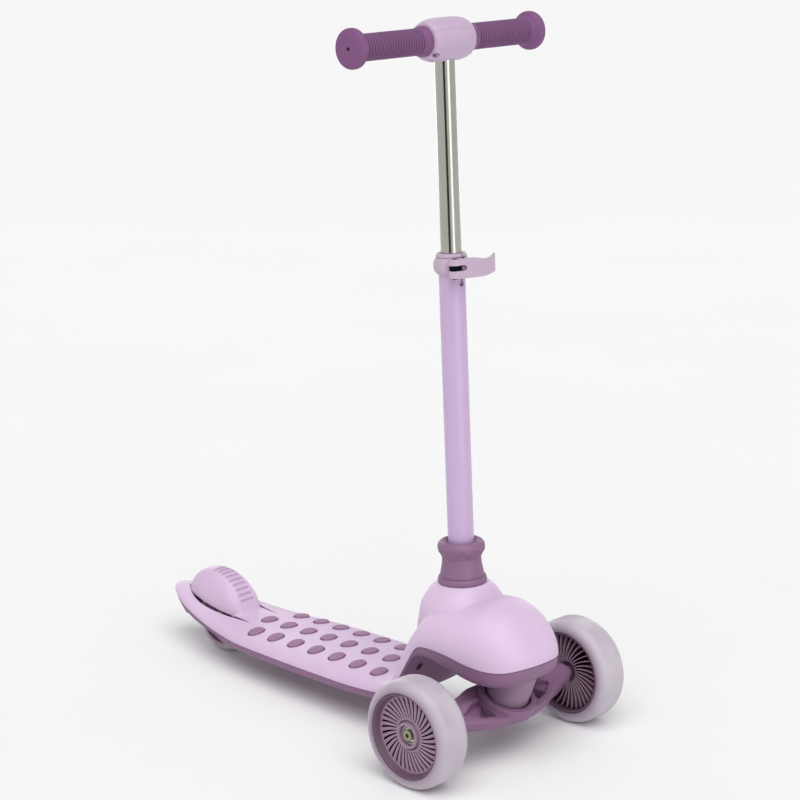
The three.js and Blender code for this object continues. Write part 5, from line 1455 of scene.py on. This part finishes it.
for hand in HANDS:
    wheel = f"front_{hand}_wheel"
    dress(tyres[hand], TYRES[hand], wheel, "tyre", f"front_{hand}_tyre")
    dress(hubs[hand], WHEEL_PLASTIC[hand], wheel, "mauve", f"front_{hand}_hub")
    dress(bearings[hand], ZINC, wheel, "steel", f"front_{hand}_bearing_outer")
    dress(bolts[hand], YELLOW_ZINC, "truck", "chrome", f"front_{hand}_axle_bolt")
    dress(washers[hand], ZINC, "truck", "steel", f"front_{hand}_washer")
    dress(grips[hand], GRIP, "handlebar", "rubber", f"grip_{hand}")
    dress(rear_bearings[hand], ZINC, "rear_wheel", "steel", f"rear_bearing_{hand}")

# the cam is near black: painted shade for the lever's deep slot
dress(lever_cam_and_painted_shade, BLACK, "lever", "nylon")
dress(lever_bolt_end, MAUVE, "lever", "mauve")

# %% Pieces that keep their CAD shape
SLOT_FINISH = {"chrome": CHROME, "nylon": NYLON, "rubber": SOFT, "mauve": MAUVE, "lilac": LILAC}
NAMED_FINISH = {"clamp_pivot": BLACK, "clamp_bolt": BLACK}
NAMED_FINISH |= {f"front_{hand}_bearing_inner": SHIELD for hand in HANDS}
# the shell screws are darkened as painted shade for their deep holes
NAMED_FINISH |= {f"shell_screw_{hand}": SHIELD for hand in HANDS}
slots = {part["node"]: part["material_slot"] for part in frame["record"]["subparts"]}
for name, node in frame["nodes"].items():
    node.data.materials.clear()
    node.data.materials.append(NAMED_FINISH.get(name) or SLOT_FINISH.get(slots[name], ZINC))
hidden = sum(node.hide_render for node in frame["nodes"].values())
print("stood for by a new piece:", hidden, "of", len(frame["nodes"]))

# %% [markdown]
# ## Floor, light and camera
# The picture was taken on white with broad soft light. The floor is large and nearly white, so
# it fills the frame. The light comes from a pale sky that is brightest at the height of the eye,
# and from one very soft lamp high behind the camera. Upright cards that only reflections see give
# the chrome its dark and bright stripes. The camera's place and lens were worked out from the
# wheels' outlines.


# %% The floor
def paper_finish():
    """Matt white paper with a barely visible mottle."""
    finish = Finish("studio_paper")
    clouds = finish.noise(2, 3)
    tone = finish.mix(clouds, paint(250, 250, 250), paint(246, 246, 247))
    return finish.shade(Base_Color=tone, Roughness=0.9 + clouds * 0.05, Specular_IOR_Level=0.02)


def board(name, width, height, material):
    """A level board of the studio, centred on the origin."""
    x, y = width / 2, height / 2
    mesh = bpy.data.meshes.new(name)
    mesh.from_pydata([(-x, -y, 0), (x, -y, 0), (x, y, 0), (-x, y, 0)], [], [(0, 1, 2, 3)])
    mesh.materials.append(material)
    piece = linked(name, mesh)
    return piece


board("studio_floor", 60, 60, paper_finish())


# %% Lamp and cards
def aimed(thing, place, target):
    """Stands the thing at its place, its own -Z towards the target."""
    thing.location = place
    direction = Vector(target) - Vector(place)
    thing.rotation_euler = direction.to_track_quat("-Z", "Y").to_euler()


def around(degrees, reach, height):
    """A place on a circle round the scooter; 0 is the camera's side, plus is to its right."""
    turn = math.radians(degrees - 134.1)
    return (reach * math.cos(turn), reach * math.sin(turn), height)


def card(name, place, width, height, material):
    """An upright card that only reflections see, as a photographer's flag or bounce board is
    seen in chrome and nowhere else."""
    holder = board(name, width, height, material)
    aimed(holder, place, (0, 0, place[2]))
    for ray in ("camera", "diffuse", "shadow", "transmission", "volume_scatter"):
        setattr(holder, f"visible_{ray}", False)


def card_finish(name, grey, glow):
    """Matt card with a little mottle; a lit board also glows."""
    finish, colour = Finish(name), (grey, grey, grey, 1)
    tone = finish.mix(finish.noise(3), colour, dimmed(colour, 0.9))
    return finish.shade(
        Base_Color=tone, Roughness=0.9, Emission_Color=tone, Emission_Strength=glow,
    )


sun = bpy.data.lights.new("sky_lamp", "SUN")
sun.energy, sun.angle = 2.0, math.radians(60)
aimed(linked("sky_lamp", sun), (-0.9, -1.1, 2.6), (0, 0, 0))
BLACK_CARD = card_finish("black_card", 0.02, 0)
card("dark_flag", around(-9, 1.5, 0.65), 0.62, 1.5, BLACK_CARD)
card("dark_flag_behind", around(171, 1.5, 0.65), 0.62, 1.5, BLACK_CARD)
card("bright_board", around(35, 1.6, 0.65), 0.5, 1.5, card_finish("white_board", 1, 2.2))
card("back_board", around(180, 3.0, 1.2), 4.0, 2.4, card_finish("pale_board", 1, 1.5))

# %% The sky
SKY_DIM, SKY_PALE = 0.41, 0.88


def studio_sky():
    """White light from all round, brighter at the height of the eye, where a low view sees it
    over the floor's edge: a ramp over the upward share of the direction."""
    world = bpy.data.worlds.new("studio")
    world.use_nodes = True
    nodes, links = world.node_tree.nodes, world.node_tree.links
    kinds = ("TexCoord", "SeparateXYZ", "ValToRGB")
    direction, parts, ramp = (nodes.new("ShaderNode" + kind) for kind in kinds)
    set_stops(ramp.color_ramp, ((0.0, SKY_PALE), (0.16, SKY_PALE), (0.3, SKY_DIM)))
    links.new(direction.outputs["Generated"], parts.inputs["Vector"])
    links.new(parts.outputs["Z"], ramp.inputs["Fac"])
    links.new(ramp.outputs["Color"], nodes["Background"].inputs["Color"])
    nodes["Background"].inputs["Strength"].default_value = 1
    bpy.context.scene.world = world


studio_sky()
bpy.context.scene.view_settings.view_transform = "Standard"

# %% The camera
lens = bpy.data.cameras.new("picture_camera")
lens.lens, lens.sensor_width, lens.sensor_fit = 103.26, 36, "HORIZONTAL"
camera = linked("picture_camera", lens)
camera_axes = Matrix(((0.7013, 0.1804, -0.6897), (-0.7129, 0.1774, -0.6785), (0, 0.9675, 0.2530)))
camera.rotation_euler = camera_axes.to_euler()
camera.location = (-1.7549, -1.8127, 1.0151)
bpy.context.scene.camera = camera

# %% [markdown]
# ## The last update
# The view layer is updated once more, so that every piece stands where its body holds it.
# The dressed object has to stay as large as the frame.

# %% The last update
bpy.context.view_layer.update()
